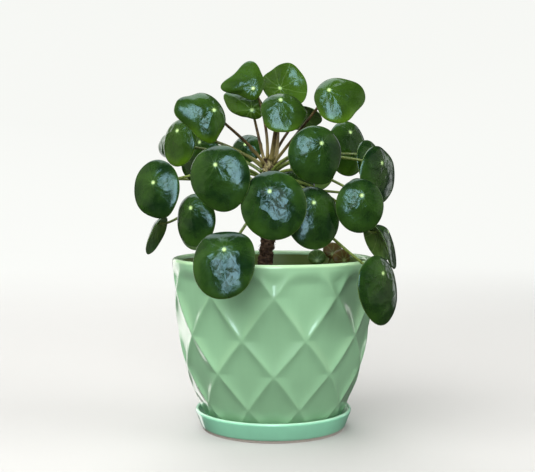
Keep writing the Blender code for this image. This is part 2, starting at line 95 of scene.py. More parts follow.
class Finish:
    """A material made of nodes: its shader, and short ways to add the nodes that feed it."""

    def __init__(self, name, sockets):
        self.material = bpy.data.materials.new(name)
        self.material.use_nodes = True
        self.nodes = self.material.node_tree.nodes
        self.links = self.material.node_tree.links
        self.shader = self.nodes["Principled BSDF"]
        for socket, value in sockets.items():
            self.shader.inputs[socket].default_value = value

    def add(self, kind, inputs, **settings):
        """A node, with values or other nodes' outputs on its inputs."""
        node = self.nodes.new("ShaderNode" + kind)
        for name, value in settings.items():
            setattr(node, name, value)
        for name, value in inputs.items():
            if isinstance(value, bpy.types.NodeSocket):
                self.links.new(value, node.inputs[name])
            else:
                node.inputs[name].default_value = value
        return node

    def place(self, stretch=(1.0, 1.0, 1.0)):
        """The point's place on the piece, stretched where a pattern runs one way."""
        point = self.add("TexCoord", {}).outputs["Object"]
        return self.add("Mapping", {"Vector": point, "Scale": stretch}).outputs["Vector"]

    def painted(self, name):
        """A value painted on the mesh's points."""
        return self.add("Attribute", {}, attribute_name=name).outputs["Fac"]

    def grain(self, vector, size, detail=2.0, roughness=0.5):
        """Soft random cloud from 0 to 1, with patches of that size in the vector's units."""
        inputs = {"Vector": vector, "Scale": 1.0 / size, "Detail": detail, "Roughness": roughness}
        return self.add("TexNoise", inputs).outputs[0]

    def calc(self, operation, first, second=0.0):
        """A sum, a product or the like of one value or two."""
        return self.add("Math", {0: first, 1: second}, operation=operation).outputs[0]

    def move(self, operation, first, second=(0.0, 0.0, 0.0)):
        """A sum, a product or the like of one vector or two."""
        return self.add("VectorMath", {0: first, 1: second}, operation=operation).outputs["Vector"]

    def length(self, vector):
        """Length of a vector."""
        return self.add("VectorMath", {0: vector}, operation="LENGTH").outputs["Value"]

    def spread(self, value, low, high, to_low=0.0, to_high=1.0):
        """Eases a value from one range to another, and stops it at the ends."""
        inputs = {"Value": value, "From Min": low, "From Max": high, "To Min": to_low, "To Max": to_high}
        return self.add("MapRange", inputs, interpolation_type="SMOOTHSTEP").outputs["Result"]

    def blend(self, share, first, second, way="MIX"):
        """Mix of two colours."""
        colours = [(*c, 1.0) if isinstance(c, tuple) else c for c in (first, second)]
        inputs = {0: share, 6: colours[0], 7: colours[1]}
        return self.add("Mix", inputs, data_type="RGBA", blend_type=way).outputs[2]

    def relief(self, height, depth):
        """Raises the surface by a height from 0 to 1 times a depth in metres."""
        inputs = {"Height": height, "Distance": depth, "Strength": 1.0}
        normal = self.shader.inputs["Normal"]
        if normal.links:
            inputs["Normal"] = normal.links[0].from_socket
        self.links.new(self.add("Bump", inputs).outputs["Normal"], normal)

    def feed(self, **values):
        """Connects outputs to the shader's sockets."""
        for socket, value in values.items():
            self.links.new(value, self.shader.inputs[socket.replace("_", " ")])


def glaze(name, deep, pale, gloss):
    """Glossy glaze, pale where it is thin on edges, with a faint wave and orange peel."""
    sockets = {"IOR": 1.5, "Coat Weight": gloss, "Coat Roughness": 0.05, "Coat IOR": 1.5}
    finish = Finish(name, sockets)
    place = finish.place()
    clouds = finish.grain(place, GLAZE_CLOUDS)
    runs = finish.grain(finish.place(GLAZE_RUN_STRETCH), GLAZE_RUNS)
    colour = finish.blend(finish.painted("thin"), deep, pale)
    tones = finish.spread(finish.calc("ADD", clouds, runs), 0.5, 1.5, *GLAZE_TONES)
    tint = finish.add("CombineColor", {0: tones, 1: tones, 2: tones}).outputs[0]
    dull = finish.spread(finish.grain(place, GLAZE_DULL_SPOTS), *CLOUD_RANGE, *GLAZE_ROUGHNESS)
    finish.feed(Base_Color=finish.blend(1.0, colour, tint, "MULTIPLY"), Roughness=dull)
    for size, depth in GLAZE_RELIEF:
        finish.relief(finish.grain(place, size), depth)
    return finish


def bare_clay(name):
    """Pale, dry stoneware with a fine grain, where the glaze was wiped off."""
    finish = Finish(name, {"IOR": 1.45})
    specks = finish.grain(finish.place(), CLAY_GRAIN, 3.0)
    colour = finish.blend(finish.spread(specks, 0.35, 0.7), CLAY_LIGHT, CLAY_DARK)
    finish.feed(Base_Color=colour, Roughness=finish.spread(specks, *CLOUD_RANGE, *CLAY_ROUGHNESS))
    finish.relief(specks, CLAY_RELIEF)
    return finish


def turn_outline(outline, steps):
    """Turns a line of (radius, height) points in millimetres about the upright axis."""
    bm = bmesh.new()
    verts = [bm.verts.new((radius * MM, 0.0, height * MM)) for radius, height in outline]
    edges = [bm.edges.new(pair) for pair in zip(verts, verts[1:])]
    bmesh.ops.spin(
        bm, geom=verts + edges, cent=(0, 0, 0), axis=(0, 0, 1), angle=math.tau, steps=steps, use_merge=True
    )
    bmesh.ops.remove_doubles(bm, verts=bm.verts, dist=MERGE)
    bmesh.ops.recalc_face_normals(bm, faces=bm.faces)
    return bm


def soften(bm, edges, width):
    """Rounds edges by a small bevel."""
    bmesh.ops.bevel(
        bm,
        geom=edges,
        offset=width,
        segments=3,
        profile=0.5,
        affect="EDGES",
        material=-1,
        clamp_overlap=True,
    )


def ease(low, high, value):
    """0 below low, 1 above high, and a soft step between them."""
    share = min(max((value - low) / (high - low), 0.0), 1.0)
    return share * share * (3.0 - 2.0 * share)


def paint(bm, name, values):
    """Paints a value on each point, for the material to read."""
    layer = bm.verts.layers.float.new(name)
    for vert in bm.verts:
        vert[layer] = values(vert.co)


def make_piece(name, bm, finishes, slot, *nodes):
    """Finishes a piece from its mesh, which rides with the plant and stands for its CAD nodes."""
    mesh = bpy.data.meshes.new(name)
    bm.to_mesh(mesh)
    bm.free()
    for finish in finishes:
        mesh.materials.append(finish.material)
    mesh.shade_smooth()
    piece = bpy.data.objects.new(name, mesh)
    bpy.context.scene.collection.objects.link(piece)
    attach(piece, "root")
    if nodes:
        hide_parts(*nodes)


saucer = turn_outline(SAUCER_OUTLINE, SAUCER_STEPS)
folds = [edge for edge in saucer.edges if len(edge.link_faces) == 2]
corners = [edge for edge in folds if edge.calc_face_angle() > SAUCER_CORNER_ANGLE]
soften(saucer, corners, SAUCER_SOFT_EDGE)
paint(saucer, "thin", lambda point: ease(*SAUCER_RIM, point.z))
for face in saucer.faces:
    face.material_index = 1 if face.calc_center_median().z < SAUCER_BARE_HEIGHT else 0
clay = bare_clay("bare_clay")
saucer_glaze = glaze("saucer_glaze_finish", SAUCER_DEEP_GLAZE, SAUCER_THIN_GLAZE, GLAZE_GLOSS)
make_piece("glazed_saucer", saucer, [saucer_glaze, clay], "saucer_glaze", "saucer")

# Pot
# A slip-cast cup in mint glaze, with ten columns of diamonds pressed into its outside between
# soft ridges. It is hollow, with a rounded rim, a foot ring wiped bare and a drain hole.
POT_COLUMNS = 10
POT_CELLS = 20
POT_RIDGE_ROUND = 0.75
POT_STEEP_SIDES = 0.3
POT_INSIDE_STEPS = 5
POT_LEAST_RING_GAP = 0.3
POT_NEAR_OUTSIDE = 0.01
POT_FLOOR = 12.5 * MM
POT_BARE_HEIGHT = 5.2 * MM
# Heights between which the glaze grows thin over the rim
POT_RIM = (125.6 * MM, 127.8 * MM)
POT_DEEP_GLAZE = (0.26, 0.48, 0.275)
POT_THIN_GLAZE = (0.41, 0.63, 0.36)
# Painted shade on the inside wall below the rim: a darker olive glaze colour, which also stands for a painted
# reflection of the soil, paler where it nears the rim, and little gloss
POT_INSIDE_SHADE = (0.10, 0.15, 0.038)
POT_INSIDE_SHADE_THIN = (0.30, 0.36, 0.16)
POT_INSIDE_SHADE_GLOSS = 0.05
# How thin the glaze is on a ridge, and how far behind it the glaze is at its thickest
POT_THIN_RIDGE = 0.04
POT_THICK_GLAZE = 0.5
# Heights at which the ridges cross, and how deep the diamonds in those rows are pressed
POT_CROSSINGS = [139.0, 105.9, 75.3, 49.8, 24.1, -1.0]
POT_PRESS = [3.7, 3.7, 3.6, 3.3, 2.8, 2.4]
# Heights over which the diamonds fade out under the rim band and above the foot
POT_FADES = (12.0, 6.0)
# Height and radius over the ridges, then radius and height round the foot and up the inside
POT_OUTSIDE = [
    (125.5, 75.9),
    (122.4, 75.8),
    (105.9, 75.2),
    (90.6, 73.9),
    (75.3, 71.9),
    (62.5, 69.9),
    (49.8, 67.2),
    (37.0, 63.2),
    (24.1, 58.4),
    (15.0, 53.7),
    (7.5, 48.0),
]
POT_FOOT = [
    (46.4, 6.3),
    (44.9, 5.4),
    (44.0, 4.9),
    (43.4, 4.8),
    (38.6, 4.8),
    (38.0, 5.0),
    (36.6, 6.5),
    (36.0, 6.8),
    (6.5, 6.8),
    (6.0, 7.3),
    (6.0, 12.5),
    (6.5, 13.0),
    (38.0, 13.0),
]
POT_INSIDE = [
    (40.0, 13.6),
    (50.5, 24.1),
    (60.0, 49.8),
    (64.8, 75.3),
    (68.8, 105.9),
    (70.7, 123.5),
    (71.0, 126.3),
    (71.6, 127.6),
    (72.6, 128.4),
    (73.8, 128.7),
    (75.0, 128.3),
    (75.8, 127.3),
    (75.95, 126.2),
]


def smooth_line(points, share):
    """A point on the soft curve through points of any number of values; share counts in spans."""
    last = len(points) - 1
    index = min(int(share), last - 1)
    t = share - index
    near = [points[min(max(index + step, 0), last)] for step in (-1, 0, 1, 2)]
    mixed = []
    for a, b, c, d in zip(*near):
        slope_b, slope_c = (c - a) * 0.5, (d - b) * 0.5
        rise = c - b
        square = (3 * rise - 2 * slope_b - slope_c) * t**2
        cube = (slope_b + slope_c - 2 * rise) * t**3
        mixed.append(b + slope_b * t + square + cube)
    return tuple(mixed)


def outside_radius(height):
    """Radius of the pot's outside over the ridges, at a height in millimetres."""
    index = 0
    while index < len(POT_OUTSIDE) - 2 and height < POT_OUTSIDE[index + 1][0]:
        index += 1
    top, low = POT_OUTSIDE[index][0], POT_OUTSIDE[index + 1][0]
    return smooth_line(POT_OUTSIDE, index + (top - height) / (top - low))[1]


def pressed_in(height, angle):
    """How far the outside lies behind the ridges, in millimetres: most in a diamond's middle."""
    half_angle = math.pi / POT_COLUMNS
    for row, (top, low) in enumerate(zip(POT_CROSSINGS, POT_CROSSINGS[1:])):
        if low <= height <= top:
            down = (top - height) / (top - low)
            from_upper = abs((angle / half_angle + (row + 1) % 2) % 2.0 - 1.0)
            upper = from_upper < 1.0 - down
            half_width = 1.0 - down if upper else down
            sideways = from_upper if upper else 1.0 - from_upper
            share = min(sideways / max(half_width, 1e-6), 1.0)
            press = POT_PRESS[row if upper else row + 1] * (1.0 - (1.0 - half_width) ** 3)
            press *= (1.0 - share**2) * (1.0 + POT_STEEP_SIDES * share**2)
            press *= ease(0.0, POT_FADES[0], POT_OUTSIDE[0][0] - height)
            press *= ease(0.0, POT_FADES[1], height - POT_OUTSIDE[-1][0])
            return math.hypot(press, POT_RIDGE_ROUND) - POT_RIDGE_ROUND
    return 0.0


heights = [POT_OUTSIDE[0][0]]
for top, low in zip(POT_CROSSINGS, POT_CROSSINGS[1:]):
    ring_heights = [top + (low - top) * ring / POT_CELLS for ring in range(POT_CELLS)]
    highest = heights[-1] - POT_LEAST_RING_GAP
    heights += [height for height in ring_heights if POT_OUTSIDE[-1][0] < height < highest]
heights.append(POT_OUTSIDE[-1][0])
pot_outline = [(outside_radius(height), height) for height in heights] + POT_FOOT
inside_steps = POT_INSIDE_STEPS * (len(POT_INSIDE) - 1)
pot_outline += [smooth_line(POT_INSIDE, step / POT_INSIDE_STEPS) for step in range(inside_steps + 1)]
pot_outline.append(pot_outline[0])
pot = turn_outline(pot_outline, 2 * POT_COLUMNS * POT_CELLS)
outside_rings = {round(height, 3): outside_radius(height) for height in heights}
thin = pot.verts.layers.float.new("thin")
press = dict.fromkeys(pot.verts, 0.0)
for vert in pot.verts:
    height, radius = vert.co.z / MM, math.hypot(vert.co.x, vert.co.y) / MM
    vert[thin] = ease(*POT_RIM, vert.co.z)
    if abs(outside_rings.get(round(height, 3), 0.0) - radius) < POT_NEAR_OUTSIDE:
        press[vert] = pressed_in(height, math.atan2(vert.co.x, -vert.co.y))
        vert[thin] = POT_THIN_RIDGE * (1.0 - ease(0.0, POT_THICK_GLAZE, press[vert]))
        vert.co.xy *= (radius - press[vert]) / radius
for face in list(pot.faces):
    corners = list(face.verts)
    if len(corners) == 4 and any(press[vert] > 0.0 for vert in corners):
        proud = press[corners[0]] + press[corners[2]] < press[corners[1]] + press[corners[3]]
        ends = corners[0::2] if proud else corners[1::2]
        bmesh.utils.face_split(face, *ends)
for face in pot.faces:
    middle = face.calc_center_median()
    if middle.z < POT_BARE_HEIGHT:
        face.material_index = 1
    elif POT_FLOOR < middle.z < POT_RIM[0] and middle.x * face.normal.x + middle.y * face.normal.y < 0.0:
        face.material_index = 2
pot_glaze = glaze("pot_glaze_finish", POT_DEEP_GLAZE, POT_THIN_GLAZE, GLAZE_GLOSS)
# The inside wall's glaze is painted shade, with a painted reflection of the dark soil
stained_glaze = glaze("stained_glaze_finish", POT_INSIDE_SHADE, POT_INSIDE_SHADE_THIN, POT_INSIDE_SHADE_GLOSS)
make_piece("glazed_pot", pot, [pot_glaze, clay, stained_glaze], "pot_glaze", "pot")

# Soil
# Dark potting soil that fills the pot to a little under the rim, in one crumbly mass. Loose
# crumbs of peat and a few white grains of perlite lie on top of it.
SOIL_SEED = 7
SOIL_EDGE = 67.0
# Radius and height of the soil's surface, from the middle to the pot's wall
SOIL_TOPS = [(0.0, 114.0), (27.0, 114.0), (57.3, 112.5), (67.5, 111.0)]
SOIL_CRUMBS = dict(count=650, small=1.0, large=4.0, rough=0.35)
SOIL_GRAINS = dict(count=45, small=1.0, large=2.4, rough=0.2)
LUMP_WIDTHS = (0.6, 1)
LUMP_HEIGHT = 0.7
SOIL_LUMPS = 1.5 * MM
SOIL_RELIEF = 0.8 * MM
SOIL_ROUGHNESS = (0.8, 0.97)
PEAT_DARK = (0.008, 0.006, 0.004)
PEAT_LIGHT = (0.045, 0.030, 0.018)
PERLITE_DARK = (0.45, 0.43, 0.39)
PERLITE_LIGHT = (0.75, 0.73, 0.69)


def soil_finish(name, dark, light):
    """Matt, lumpy soil or mineral with crumbs of two tones."""
    finish = Finish(name, {"IOR": 1.4})
    lumps = finish.grain(finish.place(), SOIL_LUMPS, 6.0, 0.65)
    colour = finish.blend(finish.spread(lumps, 0.35, 0.7), dark, light)
    finish.feed(Base_Color=colour, Roughness=finish.spread(lumps, *CLOUD_RANGE, *SOIL_ROUGHNESS))
    finish.relief(lumps, SOIL_RELIEF)
    return finish


def soil_top(radius):
    """Height of the soil at a distance from the pot's middle, in millimetres."""
    for (near, high), (far, low) in zip(SOIL_TOPS, SOIL_TOPS[1:]):
        if radius <= far:
            return high + (low - high) * (radius - near) / (far - near)
    return SOIL_TOPS[-1][1]


def scatter(count, small, large, rough, dice):
    """Small rough lumps, half sunk in the top of the soil."""
    bm = bmesh.new()
    for _ in range(count):
        size = small + (large - small) * dice.random() ** 3
        radius = SOIL_EDGE * math.sqrt(dice.random()) - size * 0.5
        heading = dice.uniform(0, math.tau)
        middle = Vector((radius * math.cos(heading), radius * math.sin(heading), soil_top(radius))) * MM
        turn = Matrix.Rotation(dice.uniform(0, math.tau), 4, Vector((dice.random(), dice.random(), 1)))
        flat = Matrix.Diagonal((1, dice.uniform(*LUMP_WIDTHS), LUMP_HEIGHT, 1))
        shape = Matrix.Translation(middle) @ turn @ flat
        lump = bmesh.ops.create_icosphere(bm, subdivisions=1, radius=0.5 * size * MM, matrix=shape)
        for vert in lump["verts"]:
            vert.co += (vert.co - middle) * dice.uniform(-rough, rough)
    return bm


dice = random.Random(SOIL_SEED)
peat = soil_finish("soil_finish", PEAT_DARK, PEAT_LIGHT)
soil_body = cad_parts["soil"]
for material_slot in soil_body.material_slots:
    material_slot.material = peat.material
make_piece("soil_crumbs", scatter(dice=dice, **SOIL_CRUMBS), [peat], "soil")
perlite = soil_finish("perlite_finish", PERLITE_DARK, PERLITE_LIGHT)
make_piece("soil_perlite", scatter(dice=dice, **SOIL_GRAINS), [perlite], "soil")

# Trunk
# A short woody stem, dark brown and rough with the scars of old leaves, a little bent.
# It stands in the soil, and ragged dry scales of the lost leaves still cling to it.
UP = Vector((0.0, 0.0, 1.0))
# Middle, height and radius in millimetres, from the foot in the soil to the top
TRUNK_LINE = [
    (-6.4, 0.0, 88.0, 5.0),
    (-6.4, 0.0, 114.0, 5.3),
    (-6.1, 0.0, 124.0, 5.1),
    (-4.2, 0.0, 142.0, 5.2),
    (-3.2, 0.0, 160.0, 4.9),
    (-3.2, 0.0, 185.0, 4.6),
    (-3.2, 0.0, 203.0, 3.8),
]
TRUNK_SIDES = 48
TRUNK_RINGS = 150
TRUNK_SCAR_STEP = 4.6
TRUNK_SCAR_LEDGE = 0.8
TRUNK_SINK = 0.3
# Height and size of the bark's lumps
TRUNK_LUMPS = ((1.7, 3.2), (0.6, 1.1))
TRUNK_SCALES = 170
TRUNK_SEED = 3
TRUNK_SCALE_HEIGHTS = (108.0, 200.0)
TRUNK_SCALE_LENGTHS = (1.2, 3.0)
TRUNK_SCALE_WIDTH = 0.7
TRUNK_SCALE_THICKNESS = 0.22
TRUNK_SCALE_TIP = 0.25
TRUNK_SCALE_SEAT = 0.93
TRUNK_SCALE_SHIFT = 0.8
TRUNK_SCALE_LEANS = (0.1, 1.0)
# Two scales in three point up, and the third hangs down
TRUNK_SCALE_WAYS = (1.0, 1.0, -0.6)
BARK_DARK = (0.022, 0.012, 0.008)
BARK_LIGHT = (0.085, 0.050, 0.030)
BARK_WORN = (0.17, 0.12, 0.08)
BARK_ROUGHNESS = (0.7, 0.92)
# Patch size, stretch and depth of the bark's rings and of its cracks
BARK_RINGS = (3.5 * MM, (1.0, 1.0, 3.0), 0.4 * MM)
BARK_CRACKS = (0.9 * MM, (1.0, 1.0, 0.4), 0.35 * MM)


def trunk_at(height):
    """Middle of the trunk in metres, and its radius in millimetres, at a height in millimetres."""
    index = 0
    while index < len(TRUNK_LINE) - 2 and height > TRUNK_LINE[index + 1][2]:
        index += 1
    low, top = TRUNK_LINE[index], TRUNK_LINE[index + 1]
    share = min(max((height - low[2]) / (top[2] - low[2]), 0.0), 1.0)
    middle = Vector(low[:3]).lerp(Vector(top[:3]), share)
    return middle * MM, low[3] + (top[3] - low[3]) * share


def facing(turn, lift=0.0):
    """Direction at a heading, which is 0 to the front, and at a slope above the level."""
    return Vector((math.sin(turn) * math.cos(lift), -math.cos(turn) * math.cos(lift), math.sin(lift)))


def stand(point, lean):
    """Place of a shape that stands on a point and leans along a direction."""
    return Matrix.Translation(point) @ lean.to_track_quat("Z", "Y").to_matrix().to_4x4()


def rod(points, radii, sides):
    """A closed round rod along points, with a radius at each and its length painted on it."""
    bm = bmesh.new()
    along = bm.verts.layers.float.new("along")
    ways = [(after - before).normalized() for before, after in zip(points, points[1:])]
    ways.append(ways[-1])
    turn = ways[0].to_track_quat("Z", "Y")
    place = Matrix.Translation(points[0]) @ turn.to_matrix().to_4x4() @ Matrix.Scale(radii[0], 4)
    circle = bmesh.ops.create_circle(bm, cap_ends=False, radius=1.0, segments=sides, matrix=place)
    edges = list({edge for vert in circle["verts"] for edge in vert.link_edges})
    bmesh.ops.contextual_create(bm, geom=edges)
    for step in range(1, len(points)):
        turn = ways[step - 1].rotation_difference(ways[step]) @ turn
        before = place
        place = Matrix.Translation(points[step]) @ turn.to_matrix().to_4x4() @ Matrix.Scale(radii[step], 4)
        made = bmesh.ops.extrude_edge_only(bm, edges=edges)["geom"]
        verts = [item for item in made if isinstance(item, bmesh.types.BMVert)]
        edges = [item for item in made if isinstance(item, bmesh.types.BMEdge)]
        bmesh.ops.transform(bm, matrix=place @ before.inverted(), verts=verts)
        for vert in verts:
            vert[along] = step / (len(points) - 1)
    bmesh.ops.contextual_create(bm, geom=edges)
    bmesh.ops.recalc_face_normals(bm, faces=bm.faces)
    return bm


def bark_finish(name):
    """Dry brown bark with pale and dark rings and fine cracks."""
    finish = Finish(name, {"IOR": 1.45})
    rings = finish.grain(finish.place(BARK_RINGS[1]), BARK_RINGS[0], 5.0, 0.6)
    cracks = finish.grain(finish.place(BARK_CRACKS[1]), BARK_CRACKS[0], 4.0, 0.6)
    colour = finish.blend(finish.spread(rings, 0.35, 0.65), BARK_DARK, BARK_LIGHT)
    colour = finish.blend(finish.spread(cracks, 0.55, 0.75, 0.0, 0.7), colour, BARK_WORN)
    finish.feed(Base_Color=colour, Roughness=finish.spread(cracks, *CLOUD_RANGE, *BARK_ROUGHNESS))
    finish.relief(cracks, BARK_CRACKS[2])
    finish.relief(rings, BARK_RINGS[2])
    return finish


low, top = TRUNK_LINE[0][2], TRUNK_LINE[-1][2]
rings = [trunk_at(low + (top - low) * ring / (TRUNK_RINGS - 1)) for ring in range(TRUNK_RINGS)]
trunk = rod([middle for middle, _ in rings], [radius * MM for _, radius in rings], TRUNK_SIDES)
for vert in trunk.verts:
    middle, radius = trunk_at(vert.co.z / MM)
    heading = math.atan2(vert.co.x - middle.x, middle.y - vert.co.y)
    turns = vert.co.z / MM / TRUNK_SCAR_STEP + heading / math.tau
    ledge = TRUNK_SCAR_LEDGE * (turns % 1.0) ** 3
    rough = sum(height * noise.noise(vert.co / (size * MM)) for height, size in TRUNK_LUMPS)
    vert.co += (vert.co - middle) * Vector((1, 1, 0)) * (ledge + rough - TRUNK_SINK) / radius
dice = random.Random(TRUNK_SEED)
for _ in range(TRUNK_SCALES):
    middle, radius = trunk_at(dice.uniform(*TRUNK_SCALE_HEIGHTS))
    out = facing(dice.uniform(0, math.tau))
    lean = out * dice.uniform(*TRUNK_SCALE_LEANS) + UP * dice.choice(TRUNK_SCALE_WAYS)
    size = dice.uniform(*TRUNK_SCALE_LENGTHS)
    shape = stand(middle + out * radius * TRUNK_SCALE_SEAT * MM, lean.normalized())
    shape @= Matrix.Diagonal((TRUNK_SCALE_WIDTH * size * MM, TRUNK_SCALE_THICKNESS * MM, size * MM, 1.0))
    shape @= Matrix.Translation((0.0, 0.0, TRUNK_SCALE_SHIFT))
    bmesh.ops.create_cone(
        trunk, cap_ends=True, segments=6, radius1=1.0, radius2=TRUNK_SCALE_TIP, depth=2.0, matrix=shape
    )
make_piece("woody_trunk", trunk, [bark_finish("trunk_bark_finish")], "trunk_bark", "trunk")

# Leaves
# Round, fleshy blades, each held from below by a long thin stalk that joins it near its middle,
# at a pale dot with short rays on its glossy upper face. The stalks grow round the top of the
# trunk, green where they are old and brown to purple on the newest leaves.
BLADE_SIDES = 108
BLADE_RINGS = 56
BLADE_SEED_STEP = 11.3
BLADE_THICKNESS = 0.9
BLADE_DROOP = 0.9
# Width of the rounded margin, and one in how many rings goes into it
BLADE_MARGIN = 0.8
BLADE_MARGIN_PART = 7
# Height and size of the waves and of the fine puckers, which begin a little off the stalk
BLADE_WAVE = (0.9, 13.0)
BLADE_PUCKER = (0.05, 2.6)
BLADE_PUCKER_START = 3.0
BLADE_DIMPLE = 0.45
BLADE_DIMPLE_RADIUS = 1.7
# Rays are shallow grooves: their number, depth, distance from the stalk, length and sway
BLADE_RAYS = 9
BLADE_GROOVE = 0.12
BLADE_GROOVE_AWAY = 3.2
BLADE_GROOVE_LENGTH = 2.6
BLADE_RAY_SWAY = (2.0, 9.0)
BLADE_UNDER_RELIEF = 0.6
BLADE_LEAST_LIT_EDGE = 0.1
# Cosines of the angle from straight down between which the painted light on the lower edge comes in, as if
# light shone through it
BLADE_LIT_EDGE_COSINES = (0.2, 1.0)
STALK_SIDES = 12
STALK_POINTS = 36
STALK_FOOT_RADIUS = 1.25
STALK_TOP_RADIUS = 0.85
# How much wider a stalk is at its two ends, and how soon that is gone
STALK_FOOT_FLARE = (0.35, 2.0)
STALK_TOP_FLARE = (0.5, 0.8)
STALK_ARCH = 0.3
STALK_START_SHARE = 0.4
STALK_NECK_SHARE = 0.2
STALK_NECK_SHORTEST = 6.0
STALK_NECK_LONGEST = 16.0
STALK_SEAT = 0.75
STALK_GAP = 0.3
# Heights of the feet between which the stalks turn from green to brown
STALK_RIPE_FEET = (193.0, 199.0)
# How far out the flats of the trunk's ten-sided solid are, as a share of its radius
TRUNK_FLAT = math.cos(math.pi / 10)
# Colours of a blade: its dark and light patches, a young blade, and the underside
LEAF_COLOURS = ((0.003, 0.016, 0.002), (0.021, 0.058, 0.006), (0.050, 0.110, 0.004), (0.10, 0.18, 0.035))
LEAF_ROUGHNESS = 0.18
SKIN_TINT = (0.62, 0.88, 1.0, 1.0)
SKIN_CLOUDS = 18 * MM
SKIN_MOTTLE = 3 * MM
SKIN_UNEVEN_GLOSS = 0.04
SKIN_GRAIN = (2.2 * MM, 0.06 * MM)
RAY_COLOUR = (0.30, 0.48, 0.16)
DOT_COLOUR = (0.60, 0.84, 0.33)
MARGIN_COLOUR = (0.20, 0.30, 0.08)
UNDER_RAY_COLOUR = (0.30, 0.40, 0.16)
# Distances in millimetres from a ray's middle and from the stalk, and how plain the rays are
RAY_EDGE = (0.1, 0.55)
RAY_FADE = (1.5, 6.0)
RAY_SHARES = (0.07, 0.01)
RAY_GROOVE_FADE = (3.0, 9.0)
RAY_GROOVE = 0.08 * MM
STAR_FADE = (0.9, 2.0)
STAR_SHARE = 0.6
DOT_EDGE = (0.4, 1.2)
# Ages between which a blade counts as young, and how plain its veins and its dot then are
YOUNG_AGES = (0.4, 0.6)
YOUNG_VEINS = 0.18
YOUNG_DOT = 0.4
UNDER_VEINS = 0.35
UNDER_EDGE = (0.45, 0.6)
UNDER_DULLNESS = 0.25
# Where the painted light through the lower edge and the thin margin lie, from the stalk at 0 to the very edge
# at 1
LIT_EDGE_REACH = (0.7, 1.0)
LIT_EDGE_LIGHTNESS = 1.3
MARGIN_REACH = (0.985, 1.0)
MARGIN_SHARE = 0.4
# The rays and creases sway a little as they fan out from the stalk
SWAY_SCALE = 0.22
SWAY = 2.2
FAN_STRETCHES = (0.07, 0.12)
FAN_RADIUS = 1.6
# Distances from the stalk at which creases begin, and parts of the way where they flatten out
CREASE_START = (1.0, 8.0)
CREASE_END = (0.5, 0.95)
CREASE_LEAST = 0.2
# Size and depth of folds and puffs, first of those that fan out and then of those that don't
FOLDS = ((1.2, 1.5), (10.0, 1.2))
PUFFS = ((1.0, 0.07), (5.0, 0.04))
SEAM_WIDTH = 0.15
STALK_STRETCH = (1.0, 1.0, 0.25)
STALK_STREAKS = 1.2 * MM
STALK_RELIEF = 0.08 * MM
STALK_GREENS = ((0.075, 0.115, 0.018), (0.16, 0.21, 0.045))
STALK_BROWNS = ((0.028, 0.015, 0.008), (0.10, 0.065, 0.026))
STALK_FOOT_COLOUR = (0.30, 0.25, 0.09)
